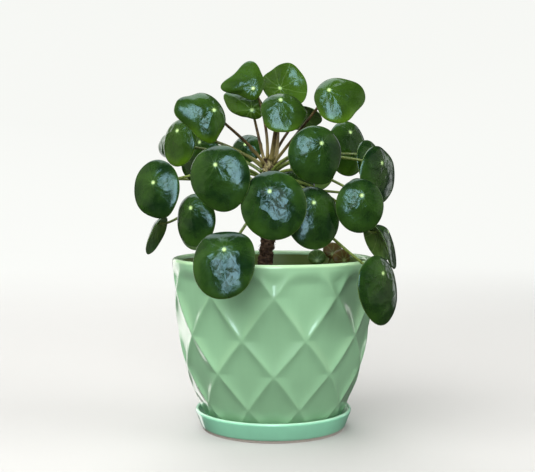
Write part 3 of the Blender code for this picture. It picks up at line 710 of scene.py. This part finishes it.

# Each leaf in millimetres and degrees:
# at: where the stalk meets the upper face
# turn: heading of the upper face, 0 to the front and positive to the right
# lift: how far the upper face looks up
# roll: swing of the tip from straight down to the right
# size: width and length
# off: from the stalk to the blade's middle, towards the tip
# dome: how far the margin lies behind the middle, negative where the blade is cupped
# bulges: angle round from the tip, share by which the outline swells there, and how wide
# foot: height of the stalk's foot on the trunk
# side: heading of the foot round the trunk, where it isn't the leaf's own
# arch: how much the stalk rises before it leans out
# bend: shift of the stalk's middle
# thick: how many times as thick as the others its stalk is
# age: 0 where the leaf is grown and dark, up to 1 where it is young and yellow green
# rim: how strongly painted light, as if shining through it, lightens its lower edge, from 0 to 1
# Leaves 1 to 27 are those seen from the front, and 28 to 34 fill the back of the crown
LEAVES = {
    "leaf_01": dict(
        at=(-3, -78, 179), turn=-5, lift=10, roll=15, size=(45, 48), off=9, dome=5, foot=172, arch=0.2,
    ),
    "leaf_02": dict(
        at=(-40, -72, 197), turn=-15, lift=6, roll=12, size=(43, 45), off=8.5, dome=5.5,
        bulges=((8, 0.07, 32), (-50, -0.06, 32), (-135, 0.05, 32)), foot=185, arch=0.4,
    ),
    "leaf_03": dict(
        at=(-33, -97, 141), turn=-5, lift=22, roll=0, size=(42, 47), off=9.5, dome=5,
        bulges=((140, 0.12, 26), (222, 0.08, 30), (75, -0.05, 35), (15, -0.04, 30)), foot=176, arch=0.0,
    ),
    "leaf_04": dict(
        at=(28, -56, 171), turn=10, lift=12, roll=0, size=(38, 45), off=10, dome=4.5, foot=170, arch=0.4,
    ),
    "leaf_05": dict(
        at=(61, -60, 176), turn=5, lift=5, roll=-5, size=(34, 38), off=7, dome=4, foot=189.5, side=42,
        arch=0.7,
    ),
    "leaf_06": dict(
        at=(33, -62, 212), turn=12, lift=2, roll=-25, size=(38, 40), off=8, dome=5, bulges=((50, 0.14, 22),),
        foot=194,
    ),
    "leaf_07": dict(
        at=(39, -45, 250), turn=5, lift=20, roll=50, size=(35, 35), off=9, dome=4,
        bulges=((74, 0.15, 25), (45, 0.10, 22), (2, -0.14, 28), (240, -0.07, 20)), foot=199, arch=0.05,
        age=0.3, rim=1.0,
    ),
    "leaf_08": dict(
        at=(79, -25, 199), turn=47, lift=0, roll=20, size=(42, 43), off=9, dome=5, bulges=((130, -0.07, 30),),
        foot=194, side=65, arch=0.7,
    ),
    "leaf_09": dict(
        at=(76, 1, 207), turn=50, lift=10, roll=0, size=(34, 38), off=8, dome=4, foot=193.5, side=98,
        arch=0.6,
    ),
    "leaf_10": dict(
        at=(60, 25, 224), turn=25, lift=15, roll=-10, size=(34, 45), off=12, dome=4, foot=198, side=103,
        arch=0.2, age=0.1, rim=0.4,
    ),
    "leaf_11": dict(
        at=(-15, -15, 254), turn=-10, lift=15, roll=-135, size=(30, 26), off=7.5, dome=2,
        bulges=(
            (48, 0.44, 22), (-42, 0.26, 28), (0, -0.08, 32), (98, -0.22, 26), (130, -0.16, 24),
            (165, 0.16, 22), (-105, -0.15, 32),
        ),
        foot=203, side=-15, bend=(5, 0, 0), age=0.3, rim=0.3,
    ),
    "leaf_12": dict(
        at=(5, 5, 256), turn=14, lift=22, roll=115, size=(36, 35), off=3.5, dome=-4,
        bulges=((44, 0.10, 20), (105, -0.18, 32), (140, 0.05, 32), (285, 0.07, 25)), foot=202, side=75,
        thick=1.2, age=0.5, rim=0.3,
    ),
    "leaf_13": dict(
        at=(-16, -6, 239), turn=-10, lift=25, roll=-130, size=(25, 33), off=9, dome=4,
        bulges=((10, 0.22, 20), (65, -0.08, 25), (95, -0.20, 25), (135, -0.32, 32)), foot=200, side=-140,
        age=0.5,
    ),
    "leaf_14": dict(
        at=(5, -35, 244), turn=5, lift=21, roll=8, size=(33, 32), off=8.5, dome=4,
        bulges=((82, 0.11, 16), (350, -0.09, 30), (275, -0.12, 28)), foot=202, side=18, thick=1.45, age=0.2,
        rim=0.7,
    ),
    "leaf_15": dict(
        at=(20, 18, 239), turn=170, lift=55, roll=0, size=(34, 30), off=2, dome=3,
        bulges=((285, 0.05, 20), (325, -0.05, 20)), foot=199, side=155, arch=1.2,
    ),
    "leaf_16": dict(
        at=(-42, -45, 236), turn=15, lift=13, roll=-65, size=(37, 32), off=7.5, dome=5.5,
        bulges=(
            (-52, 0.20, 20), (-28, 0.20, 16), (20, -0.19, 26), (80, 0.10, 16), (118, -0.07, 20),
            (-92, -0.06, 20),
        ),
        foot=199, side=-55, arch=0.35, age=0.1, rim=0.7,
    ),
    "leaf_17": dict(
        at=(-71, -15, 223), turn=-33, lift=10, roll=0, size=(31, 36), off=8, dome=4,
        bulges=((75, -0.06, 30),), foot=196, arch=0.5, age=0.25, rim=0.8,
    ),
    "leaf_18": dict(
        at=(-80, -2, 214), turn=-50, lift=10, roll=-90, size=(19, 25), off=5, dome=4, foot=192.5, arch=0.5,
    ),
    "leaf_19": dict(
        at=(-57, 20, 216), turn=-30, lift=10, roll=-12, size=(35, 40.5), off=9.8, dome=4, foot=197, side=-118,
        arch=0.5,
    ),
    "leaf_20": dict(
        at=(-86, -40, 185), turn=-21, lift=10, roll=8, size=(36.5, 43), off=4, dome=4,
        bulges=((24, 0.07, 20), (335, -0.05, 25)), foot=188, arch=0.5,
    ),
    "leaf_21": dict(
        at=(-59, -45, 167), turn=-26, lift=5, roll=4, size=(32, 39), off=9, dome=5,
        bulges=((270, -0.08, 40), (0, -0.05, 30), (95, 0.05, 30)), foot=181, arch=0.6,
    ),
    "leaf_22": dict(
        at=(-87.5, -5, 155), turn=-102, lift=24, roll=0, size=(34, 31), off=9, dome=3, foot=184, side=-95,
        arch=0.5,
    ),
    "leaf_23": dict(at=(-22, 35, 215), turn=-20, lift=20, roll=0, size=(26, 24), off=2, dome=4, foot=197),
    "leaf_24": dict(
        at=(77, -23, 149), turn=110, lift=22, roll=0, size=(34, 31), off=6.5, dome=4, foot=184, arch=0.5,
    ),
    "leaf_25": dict(
        at=(87, 0, 148), turn=75, lift=22, roll=0, size=(34, 36), off=10, dome=5, foot=187, arch=0.5,
    ),
    "leaf_26": dict(
        at=(76, -62, 122), turn=42, lift=5, roll=2, size=(40, 49), off=12, dome=5,
        bulges=((-45, -0.08, 32), (20, 0.02, 32), (240, 0.06, 30)), foot=180, arch=0.0,
    ),
    "leaf_27": dict(at=(17, 15, 193), turn=20, lift=50, roll=0, size=(30, 27), off=6, dome=3, foot=184),
    "leaf_28": dict(at=(-43, 70, 194), turn=-150, lift=10, roll=0, size=(42, 44), off=9, dome=5, foot=180),
    "leaf_29": dict(at=(-3, 78, 172), turn=180, lift=5, roll=0, size=(44, 46), off=9, dome=5, foot=170),
    "leaf_30": dict(
        at=(33, 62, 206), turn=160, lift=15, roll=0, size=(38, 40), off=8, dome=4, foot=186, arch=0.9,
        bend=(-3, 0, 4),
    ),
    "leaf_31": dict(
        at=(73, 50, 176), turn=130, lift=5, roll=0, size=(38, 42), off=8, dome=5, foot=176, arch=0.2,
    ),
    "leaf_32": dict(at=(-92, 40, 188), turn=-120, lift=5, roll=0, size=(38, 42), off=8, dome=5, foot=176),
    "leaf_33": dict(
        at=(-66, 60, 157), turn=-140, lift=0, roll=0, size=(34, 38), off=8, dome=5, foot=183, arch=0.5,
    ),
    "leaf_34": dict(at=(38, 70, 161), turn=150, lift=0, roll=0, size=(38, 42), off=8, dome=4, foot=162),
}


def leaf_axes(leaf):
    """Place of a blade: X to its left, Y to its tip, Z out of its upper face."""
    turn, lift, roll = (math.radians(leaf[key]) for key in ("turn", "lift", "roll"))
    face = facing(turn, lift)
    right = UP.cross(face).normalized()
    down = right.cross(face)
    tip = down * math.cos(roll) + right * math.sin(roll)
    axes = Matrix((tip.cross(face), tip, face)).transposed().to_4x4()
    return Matrix.Translation(Vector(leaf["at"]) * MM) @ axes


def blade_spot(leaf, reach, angle):
    """Where a blade's smooth upper face is, in millimetres, from the stalk 0 to the margin 1."""
    swell = 1.0
    for place, amount, spread in leaf.get("bulges", ()):
        apart = (math.degrees(angle) - place + 180.0) % 360.0 - 180.0
        swell += amount * math.exp(-((apart / spread) ** 2))
    width, length = leaf["size"]
    across = -reach * 0.5 * width * swell * math.sin(angle)
    along = reach * (leaf["off"] + 0.5 * length * swell * math.cos(angle))
    return Vector((across, along, -leaf["dome"] * reach**2 - BLADE_DROOP * reach**6))


def blade_relief(spot, reach, seed):
    """Height of the blade's waves, quilted puckers and dimple at a spot, in millimetres."""
    away = math.hypot(spot.x, spot.y)
    flat = Vector((spot.x, spot.y, seed))
    wave, pucker, sway = (
        height * noise.noise(flat / size) for height, size in (BLADE_WAVE, BLADE_PUCKER, BLADE_RAY_SWAY)
    )
    rays = 0.5 + 0.5 * math.cos(BLADE_RAYS * math.atan2(spot.x, spot.y) + sway)
    groove = -BLADE_GROOVE * rays**3 * math.exp(-(((away - BLADE_GROOVE_AWAY) / BLADE_GROOVE_LENGTH) ** 2))
    dimple = BLADE_DIMPLE * math.exp(-((away / BLADE_DIMPLE_RADIUS) ** 2))
    return wave * reach + pucker * ease(0.0, BLADE_PUCKER_START, away) + groove - dimple


def blade_mesh(leaf, seed, sides, rings):
    """A blade from a ball whose rings are laid out from the stalk to the margin, on both sides."""
    bm = bmesh.new()
    bmesh.ops.create_uvsphere(bm, u_segments=sides, v_segments=rings, radius=1.0)
    layers = {name: bm.verts.layers.float.new(name) for name in ("reach", "under", "age", "rim")}
    flat = bm.verts.layers.float_vector.new("flat")
    half = rings // 2
    rim_rings = max(half // BLADE_MARGIN_PART, 2)
    rim_share = BLADE_MARGIN / (0.25 * sum(leaf["size"]))
    for vert in bm.verts:
        ring = round(math.acos(max(-1.0, min(1.0, vert.co.z))) / math.pi * rings)
        inward = min(ring, rings - ring)
        side = 0.0 if inward == half else math.copysign(1.0, half - ring)
        angle = math.atan2(vert.co.x, vert.co.y)
        if inward <= half - rim_rings:
            reach, fullness = (1.0 - rim_share) * inward / (half - rim_rings), 1.0
        else:
            round_off = 0.5 * math.pi * (inward - half + rim_rings) / rim_rings
            reach, fullness = 1.0 - rim_share * (1.0 - math.sin(round_off)), math.cos(round_off)
        spot = blade_spot(leaf, reach, angle)
        flat_spot = Vector((spot.x, spot.y, seed))
        relief = blade_relief(spot, reach, seed) * (1.0 if side > 0 else BLADE_UNDER_RELIEF)
        spot.z += relief + 0.5 * BLADE_THICKNESS * (side * fullness - 1.0)
        vert.co = spot * MM
        vert[flat] = flat_spot
        vert[layers["reach"]] = reach
        vert[layers["under"]] = 0.5 - 0.5 * side * fullness
        vert[layers["age"]] = leaf.get("age", 0.0)
        # Painted light: how much the lower edge, as the blade hangs, is to be lightened as if light shone
        # through it
        low_edge = ease(*BLADE_LIT_EDGE_COSINES, math.cos(angle + math.radians(leaf["roll"])))
        vert[layers["rim"]] = leaf.get("rim", BLADE_LEAST_LIT_EDGE) * low_edge
    bmesh.ops.recalc_face_normals(bm, faces=bm.faces)
    return bm


def stalk_mesh(leaf, place):
    """A stalk that rises from beside the trunk and comes up to the blade from behind."""
    top = place.translation
    middle, trunk_radius = trunk_at(leaf["foot"])
    outward = (top - middle) * Vector((1, 1, 0))
    heading = math.radians(leaf["side"]) if "side" in leaf else math.atan2(outward.x, -outward.y)
    outward = facing(heading)
    start = ((top - middle).normalized() + UP * leaf.get("arch", STALK_ARCH)).normalized()
    thick = leaf.get("thick", 1.0)
    clear = trunk_radius * TRUNK_FLAT + STALK_GAP + STALK_FOOT_RADIUS * thick * abs(start.z)
    foot = middle + outward * clear * MM
    length = (top - foot).length
    face = place.to_3x3() @ UP
    neck = min(max(STALK_NECK_SHARE * length, STALK_NECK_SHORTEST * MM), STALK_NECK_LONGEST * MM)
    end = top - face * STALK_SEAT * BLADE_THICKNESS * MM
    bend = Vector(leaf.get("bend", (0, 0, 0))) * MM
    first = foot + start * STALK_START_SHARE * length + bend
    second = end - face * neck + bend * 0.5
    points, radii = [], []
    for step in range(STALK_POINTS):
        t = step / (STALK_POINTS - 1)
        a, b, c, d = (1 - t) ** 3, 3 * t * (1 - t) ** 2, 3 * t**2 * (1 - t), t**3
        points.append(foot * a + first * b + second * c + end * d)
        from_foot, from_top = t * length / MM, (1 - t) * length / MM
        radius = STALK_FOOT_RADIUS + (STALK_TOP_RADIUS - STALK_FOOT_RADIUS) * t
        flare = STALK_FOOT_FLARE[0] * math.exp(-from_foot / STALK_FOOT_FLARE[1])
        flare += STALK_TOP_FLARE[0] * math.exp(-from_top / STALK_TOP_FLARE[1])
        radii.append((radius + flare) * thick * MM)
    return rod(points, radii, STALK_SIDES)


def blade_rays(finish, swayed, away):
    """Thin rays out from the stalk: 1 along the middle of each, and 0 between them."""
    parts = finish.add("SeparateXYZ", {"Vector": swayed}).outputs
    heading = finish.calc("ARCTAN2", parts["X"], parts["Y"])
    wave = finish.calc("SINE", finish.calc("MULTIPLY", heading, 0.5 * BLADE_RAYS))
    width = finish.calc("MULTIPLY", away, 2.0 / BLADE_RAYS)
    from_ray = finish.calc("MULTIPLY", finish.calc("ABSOLUTE", wave), width)
    return finish.spread(from_ray, *RAY_EDGE, 1.0, 0.0)


def crease_blade(finish, flat, swayed, away, reach):
    """Folds that fan out from the stalk, and soft puffs between fine seams."""
    seed = finish.add("SeparateXYZ", {"Vector": flat}).outputs["Z"]
    outward = finish.move("NORMALIZE", swayed)
    fans = []
    for stretch in FAN_STRETCHES:
        depth = finish.calc("ADD", finish.calc("MULTIPLY", away, stretch), seed)
        depth = finish.add("CombineXYZ", {"Z": depth}).outputs["Vector"]
        inputs = {0: outward, 1: (FAN_RADIUS, FAN_RADIUS, 0.0), 2: depth}
        fans.append(finish.add("VectorMath", inputs, operation="MULTIPLY_ADD").outputs["Vector"])
    start = finish.spread(away, *CREASE_START)
    creased = finish.calc("MULTIPLY", start, finish.spread(reach, *CREASE_END, 1.0, CREASE_LEAST))
    for vector, (size, drop) in zip((fans[0], flat), FOLDS):
        fold = finish.calc("ABSOLUTE", finish.calc("SUBTRACT", finish.grain(vector, size, 0.0), 0.5))
        finish.relief(finish.calc("MULTIPLY", fold, creased), drop * MM)
    for vector, (size, drop) in zip((fans[1], flat), PUFFS):
        seam = finish.add("TexVoronoi", {"Vector": vector, "Scale": 1.0 / size}, feature="DISTANCE_TO_EDGE")
        puff = finish.calc("MINIMUM", finish.calc("DIVIDE", seam.outputs["Distance"], SEAM_WIDTH), 1.0)
        finish.relief(finish.calc("MULTIPLY", puff, creased), drop * MM)


def blade_finish(name, dark, light, young, underside, roughness):
    """Glossy leaf skin, creased outwards from a pale dot, with a light margin, painted light shining through
    its lower edge, and a dull underside.
    """
    sockets = {"IOR": 1.55, "Specular Tint": SKIN_TINT, "Coat Weight": 0.15, "Coat Roughness": 0.08}
    finish = Finish(name, sockets)
    place = finish.place()
    reach, under, age, rim = (finish.painted(value) for value in ("reach", "under", "age", "rim"))
    flat = finish.add("Attribute", {}, attribute_name="flat").outputs["Vector"]
    level = finish.move("MULTIPLY", flat, (1.0, 1.0, 0.0))
    away = finish.length(level)
    sway = finish.add("TexNoise", {"Vector": flat, "Scale": SWAY_SCALE, "Detail": 2.0}).outputs["Color"]
    sway = finish.move("MULTIPLY", finish.move("SUBTRACT", sway, (0.5, 0.5, 0.5)), (SWAY, SWAY, 0.0))
    swayed = finish.move("ADD", level, sway)
    ray = blade_rays(finish, swayed, away)
    mottle = finish.grain(place, SKIN_MOTTLE, 3.0)
    patches = finish.calc("ADD", finish.grain(place, SKIN_CLOUDS), finish.calc("MULTIPLY", mottle, 0.15))
    tone = finish.spread(patches, 0.35, 0.8)
    upper = finish.blend(age, finish.blend(tone, dark, light), young)
    # Painted light: the lower edge turns a lighter yellow green, as if light shone through it
    low_edge = finish.calc("MULTIPLY", finish.spread(reach, *LIT_EDGE_REACH), rim)
    upper = finish.blend(low_edge, upper, tuple(LIT_EDGE_LIGHTNESS * part for part in young))
    faint = finish.calc("MULTIPLY", ray, finish.spread(away, *RAY_FADE, *RAY_SHARES))
    veins = finish.calc("MULTIPLY", ray, finish.spread(age, *YOUNG_AGES, 0.0, YOUNG_VEINS))
    upper = finish.blend(finish.calc("ADD", faint, veins), upper, RAY_COLOUR)
    star = finish.calc("MULTIPLY", ray, finish.spread(away, *STAR_FADE, STAR_SHARE, 0.0))
    star = finish.calc("MAXIMUM", star, finish.spread(away, *DOT_EDGE, 1.0, 0.0))
    star = finish.calc("MULTIPLY", star, finish.spread(age, *YOUNG_AGES, 1.0, YOUNG_DOT))
    upper = finish.blend(star, upper, DOT_COLOUR)
    upper = finish.blend(finish.spread(reach, *MARGIN_REACH, 0.0, MARGIN_SHARE), upper, MARGIN_COLOUR)
    lower = finish.blend(tone, underside, light)
    lower = finish.blend(finish.calc("MULTIPLY", ray, UNDER_VEINS), lower, UNDER_RAY_COLOUR)
    dull = finish.spread(mottle, *CLOUD_RANGE, roughness, roughness + SKIN_UNEVEN_GLOSS)
    dull = finish.calc("ADD", dull, finish.spread(under, *UNDER_EDGE, 0.0, UNDER_DULLNESS))
    finish.feed(Base_Color=finish.blend(finish.spread(under, *UNDER_EDGE), upper, lower), Roughness=dull)
    crease_blade(finish, flat, swayed, away, reach)
    groove = finish.calc("MULTIPLY", ray, finish.spread(away, *RAY_GROOVE_FADE, -1.0, 0.0))
    finish.relief(groove, RAY_GROOVE)
    finish.relief(finish.grain(place, SKIN_GRAIN[0], 3.0), SKIN_GRAIN[1])
    return finish


def stalk_finish(name):
    """Smooth fleshy stalk, olive green, or brown to purple where it is painted as ripe."""
    finish = Finish(name, {"IOR": 1.5, "Roughness": 0.32})
    streaks = finish.grain(finish.place(STALK_STRETCH), STALK_STREAKS, 3.0)
    streak = finish.spread(streaks, *CLOUD_RANGE)
    green, brown = finish.blend(streak, *STALK_GREENS), finish.blend(streak, *STALK_BROWNS)
    along = finish.painted("along")
    brown = finish.blend(finish.spread(along, 0.0, 0.35, 0.7, 0.0), brown, STALK_FOOT_COLOUR)
    shade = finish.calc("MULTIPLY", finish.painted("ripe"), finish.spread(along, 0.5, 1.0, 1.0, 0.6))
    finish.feed(Base_Color=finish.blend(shade, green, brown))
    finish.relief(streaks, STALK_RELIEF)
    return finish


leaf_skin = blade_finish("leaf_green_finish", *LEAF_COLOURS, LEAF_ROUGHNESS)
stalk_skin = stalk_finish("stalk_finish")
for index, (name, leaf) in enumerate(LEAVES.items()):
    place = leaf_axes(leaf)
    blade = blade_mesh(leaf, BLADE_SEED_STEP * index, BLADE_SIDES, BLADE_RINGS)
    blade.transform(place)
    slot = "young_green" if leaf.get("age", 0.0) > YOUNG_AGES[0] else "leaf_green"
    make_piece(name + "_blade", blade, [leaf_skin], slot, name)
    stalk = stalk_mesh(leaf, place)
    ripe = ease(*STALK_RIPE_FEET, leaf["foot"])
    paint(stalk, "ripe", lambda point: ripe)
    make_piece(name + "_stalk", stalk, [stalk_skin], slot, name)

# Crown
# The growing tip of the plant, where the newest stalks part: a knot of thin, pale brown
# scales, each the dry sheath of a young leaf, that stand close round the top of the trunk.
CROWN_HEIGHTS = (193.0, 203.0)
CROWN_SCALES = 22
CROWN_SEED = 5
CROWN_GOLDEN_TURN = 0.382
CROWN_TURN_ERROR = 0.2
CROWN_LEANS = (0.1, 0.45)
CROWN_GAP = 0.2
CROWN_SCALE_LENGTHS = (2.6, 4.0)
CROWN_SCALE_WIDTH = 0.45
CROWN_SCALE_THICKNESS = 0.20
CROWN_SCALE_TAPER = 0.6
CROWN_SCALE_CURL = 0.5
CROWN_OLIVE = (0.16, 0.13, 0.05)
CROWN_STRAW = (0.42, 0.37, 0.18)
CROWN_VEINS = 0.6 * MM
CROWN_VEIN_STRETCH = (1.0, 1.0, 0.2)
CROWN_RELIEF = 0.06 * MM


def scale_finish(name):
    """Papery sheath, pale olive brown with fine lengthwise veins."""
    finish = Finish(name, {"IOR": 1.4, "Roughness": 0.6})
    veins = finish.grain(finish.place(CROWN_VEIN_STRETCH), CROWN_VEINS, 3.0)
    finish.feed(Base_Color=finish.blend(finish.spread(veins, *CLOUD_RANGE), CROWN_OLIVE, CROWN_STRAW))
    finish.relief(veins, CROWN_RELIEF)
    return finish


crown = bmesh.new()
dice = random.Random(CROWN_SEED)
for number in range(CROWN_SCALES):
    heading = math.tau * number * CROWN_GOLDEN_TURN + dice.uniform(-CROWN_TURN_ERROR, CROWN_TURN_ERROR)
    out = facing(heading)
    size = dice.uniform(*CROWN_SCALE_LENGTHS)
    lean = (UP + out * dice.uniform(*CROWN_LEANS)).normalized()
    middle, radius = trunk_at(dice.uniform(*CROWN_HEIGHTS))
    place = stand(middle + out * (radius + CROWN_GAP) * MM, lean)
    width, thickness = CROWN_SCALE_WIDTH * size * MM, CROWN_SCALE_THICKNESS * size * MM
    shape = place @ Matrix.Diagonal((width, thickness, size * MM, 1.0))
    made = bmesh.ops.create_uvsphere(crown, u_segments=12, v_segments=10, radius=1.0, matrix=shape)
    for vert in made["verts"]:
        up_scale = (place.inverted() @ vert.co).z / (size * MM)
        if up_scale > 0.0:
            axis = place @ Vector((0.0, 0.0, up_scale * size * MM))
            curl = out * CROWN_SCALE_CURL * MM * up_scale**2
            vert.co = axis + (vert.co - axis) * (1.0 - CROWN_SCALE_TAPER * up_scale) + curl
make_piece("crown_scales", crown, [scale_finish("crown_scale_finish")], "trunk_bark")

# Pups
# Three small offset shoots that rise from the soil beside the trunk, two of them flushed red.
# Each is made as one tiny leaf on a short upright stem, and the stems' feet stand in the soil.
SOIL_LEVEL = 112.5
PUP_SEED = 40.0
PUP_DEPTH = 12.0
PUP_STEM_RISE = 4.0
PUP_STEM_RADIUS = 1.2
PUP_NECK = 4.0
PUP_NECK_RADIUS = 0.8
PUP_STEM_SEAT = 0.6
PUP_STEM_STEPS = 6
PUP_STEM_RIPE = 0.35
PUP_GREENS = ((0.04, 0.09, 0.010), (0.08, 0.15, 0.020), (0.055, 0.12, 0.012), (0.10, 0.14, 0.05))
PUP_REDS = ((0.065, 0.050, 0.004), (0.12, 0.085, 0.008), (0.10, 0.050, 0.005), (0.13, 0.06, 0.04))
PUP_ROUGHNESS = 0.4
PUP_SIDES = 48
PUP_RINGS = 28
# The same values as for a leaf, but for the foot, which is a place on the soil
PUP_ALIKE = dict(dome=1, age=0.6, rim=0.9)
PUPS = {
    "pup_1": dict(foot=(31, 14), at=(33.5, 10, 125.5), turn=0, lift=10, roll=180, size=(14, 12), off=2.5),
    "pup_2": dict(foot=(41, 22), at=(46, 16, 130), turn=10, lift=15, roll=170, size=(15.5, 13), off=3),
    "pup_3": dict(foot=(51, 8), at=(54, 4, 126), turn=30, lift=15, roll=-170, size=(17, 12), off=3),
}


def pup_stem_mesh(foot, place):
    """An upright stem out of the soil that bends over to meet the blade from behind."""
    base = Vector((foot[0], foot[1], SOIL_LEVEL - PUP_DEPTH)) * MM
    face = place.to_3x3() @ UP
    end = place.translation - face * PUP_STEM_SEAT * BLADE_THICKNESS * MM
    line = [base, base + UP * PUP_DEPTH * MM, base + UP * (PUP_DEPTH + PUP_STEM_RISE) * MM]
    line += [end - face * PUP_NECK * MM, end]
    wide = [PUP_STEM_RADIUS] * 3 + [PUP_NECK_RADIUS] * 2
    steps = [step / PUP_STEM_STEPS for step in range(PUP_STEM_STEPS * (len(line) - 1) + 1)]
    points = [Vector(smooth_line([tuple(point) for point in line], step)) for step in steps]
    radii = [smooth_line([(radius,) for radius in wide], step)[0] * MM for step in steps]
    return rod(points, radii, STALK_SIDES)


pup_green = blade_finish("pup_green_finish", *PUP_GREENS, PUP_ROUGHNESS)
pup_red = blade_finish("pup_red_finish", *PUP_REDS, PUP_ROUGHNESS)
for index, (name, pup) in enumerate(PUPS.items()):
    place = leaf_axes(pup)
    skin = pup_green if index == 0 else pup_red
    blade = blade_mesh(dict(pup, **PUP_ALIKE), PUP_SEED + index, PUP_SIDES, PUP_RINGS)
    blade.transform(place)
    make_piece(name + "_blade", blade, [skin], "pup_green", name)
    stem = pup_stem_mesh(pup["foot"], place)
    paint(stem, "ripe", lambda point: PUP_STEM_RIPE)
    make_piece(name + "_stem", stem, [stalk_skin], "pup_green", name)

# Studio
# A pale floor that curves up into a round, glowing backdrop, so that no edge shows from any side.
# Only the camera sees it. Soft panels light the plant, and its glossy leaves and glaze mirror
# two window panes behind the camera, the panel overhead and tall cards on both sides.
FLOOR_RADIUS = 1.5
WALL_RADIUS = 2.3
WALL_HEIGHT = 2.6
WALL_STEPS = 12
STUDIO_SIDES = 96
FLOOR_PAINT = (0.48, 0.47, 0.45)
WALL_PAINT = (0.03, 0.03, 0.03)
WALL_GLOW = (0.90, 0.91, 0.88)
# Distances from the middle between which the floor gives way to the wall
WALL_START = (0.3, 1.6)
AIR_COLOUR = (1.0, 0.99, 0.97, 1.0)
AIR_STRENGTH = 0.07
WINDOW_BLUE = (0.72, 0.90, 1.0)
SKY_WHITE = (0.97, 0.99, 1.0)
SOFT_WHITE = (0.98, 0.99, 1.0)
ROOM_YELLOW = (1.0, 1.0, 0.55)
WARM_WHITE = (1.0, 0.99, 0.95)
AIM = Vector((0.0, 0.0, 0.17))
# Each lamp: heading and height in degrees, distance and size in metres, power in watts, colour,
# and whether it only lights the plant, is only mirrored by it, or both
LAMPS = {
    "window_right": (0, 18, 1.9, (0.56, 1.25), 16.5, WINDOW_BLUE, "mirrored"),
    "window_left": (-20, 27, 1.9, (0.26, 0.65), 4.5, WINDOW_BLUE, "mirrored"),
    "overhead": (-150, 72, 1.6, (1.4, 1.4), 14, SKY_WHITE, "both"),
    "key_left": (-58, 46, 1.7, (1.2, 1.2), 27, SOFT_WHITE, "lights"),
    "fill_front": (-12, 30, 1.7, (1.2, 1.2), 24, SOFT_WHITE, "lights"),
    "fill_right": (75, 20, 1.7, (1.2, 1.2), 22, SOFT_WHITE, "lights"),
    "fill_low": (-5, 6, 1.7, (1.2, 1.2), 10, SOFT_WHITE, "lights"),
    "fill_back": (-170, 30, 1.7, (1.2, 1.2), 20, SOFT_WHITE, "lights"),
    "room_left": (-80, 15, 2.0, (2.2, 2.2), 5.5, ROOM_YELLOW, "mirrored"),
    "room_right": (80, 15, 2.0, (2.2, 2.2), 5.5, ROOM_YELLOW, "mirrored"),
    "wall_left": (-146, 10, 2.0, (1.1, 3.0), 18, WARM_WHITE, "mirrored"),
    "wall_right": (125, 10, 2.0, (0.35, 1.6), 3, WARM_WHITE, "mirrored"),
}
CAMERA_PLACE = (-0.0044, -0.7528, 0.1848)
CAMERA_LOOKS_DOWN = 3.06
CAMERA_LENS = 67.25
CAMERA_SENSOR = 36.0


def studio_finish(name, wall, floor, glow):
    """Matt paint on the floor, which gives way to an even white glow on the wall."""
    finish = Finish(name, {"Roughness": 0.9, "IOR": 1.3, "Emission Strength": 1.0})
    far = finish.length(finish.place())
    share = finish.spread(far, *WALL_START)
    finish.feed(Base_Color=finish.blend(share, floor, wall))
    finish.feed(Emission_Color=finish.blend(share, (0.0, 0.0, 0.0), glow))
    finish.relief(finish.grain(finish.place(), 2 * MM), 0.02 * MM)
    return finish


def hang_lamp(name, azimuth, elevation, distance, size, power, colour, use):
    """A soft panel that looks at the plant and isn't seen itself."""
    light = bpy.data.lights.new(name, "AREA")
    light.shape = "RECTANGLE"
    light.size, light.size_y = size
    light.energy = power
    light.color = colour
    lamp = bpy.data.objects.new(name, light)
    bpy.context.scene.collection.objects.link(lamp)
    away = facing(math.radians(azimuth), math.radians(elevation))
    lamp.location = AIM + away * distance
    lamp.rotation_euler = away.to_track_quat("Z", "Y").to_euler()
    lamp.visible_camera = False
    lamp.visible_diffuse = use != "mirrored"
    lamp.visible_glossy = use != "lights"


sweep = [(0.0, 0.0), (FLOOR_RADIUS / MM, 0.0)]
for step in range(1, WALL_STEPS + 1):
    turn = 0.5 * math.pi * step / WALL_STEPS
    radius = FLOOR_RADIUS + (WALL_RADIUS - FLOOR_RADIUS) * math.sin(turn)
    sweep.append((radius / MM, WALL_HEIGHT * (1.0 - math.cos(turn)) / MM))
studio = turn_outline(sweep, STUDIO_SIDES)
if studio.faces[0].normal.z < 0.0:
    bmesh.ops.reverse_faces(studio, faces=studio.faces)
mesh = bpy.data.meshes.new("studio_sweep")
studio.to_mesh(mesh)
studio.free()
mesh.materials.append(studio_finish("studio_finish", WALL_PAINT, FLOOR_PAINT, WALL_GLOW).material)
mesh.shade_smooth()
backdrop = bpy.data.objects.new("studio_sweep", mesh)
bpy.context.scene.collection.objects.link(backdrop)
backdrop.visible_glossy = False
backdrop.visible_diffuse = False

world = bpy.data.worlds.new("studio_air")
world.use_nodes = True
air = world.node_tree.nodes["Background"]
air.inputs["Color"].default_value = AIR_COLOUR
air.inputs["Strength"].default_value = AIR_STRENGTH
bpy.context.scene.world = world
for name, settings in LAMPS.items():
    hang_lamp(name, *settings)

camera_data = bpy.data.cameras.new("camera")
camera_data.lens = CAMERA_LENS
camera_data.sensor_width = CAMERA_SENSOR
camera = bpy.data.objects.new("camera", camera_data)
camera.location = CAMERA_PLACE
camera.rotation_euler = (math.radians(90.0 - CAMERA_LOOKS_DOWN), 0.0, 0.0)
bpy.context.scene.collection.objects.link(camera)
bpy.context.scene.camera = camera
bpy.context.scene.view_settings.view_transform = "Standard"
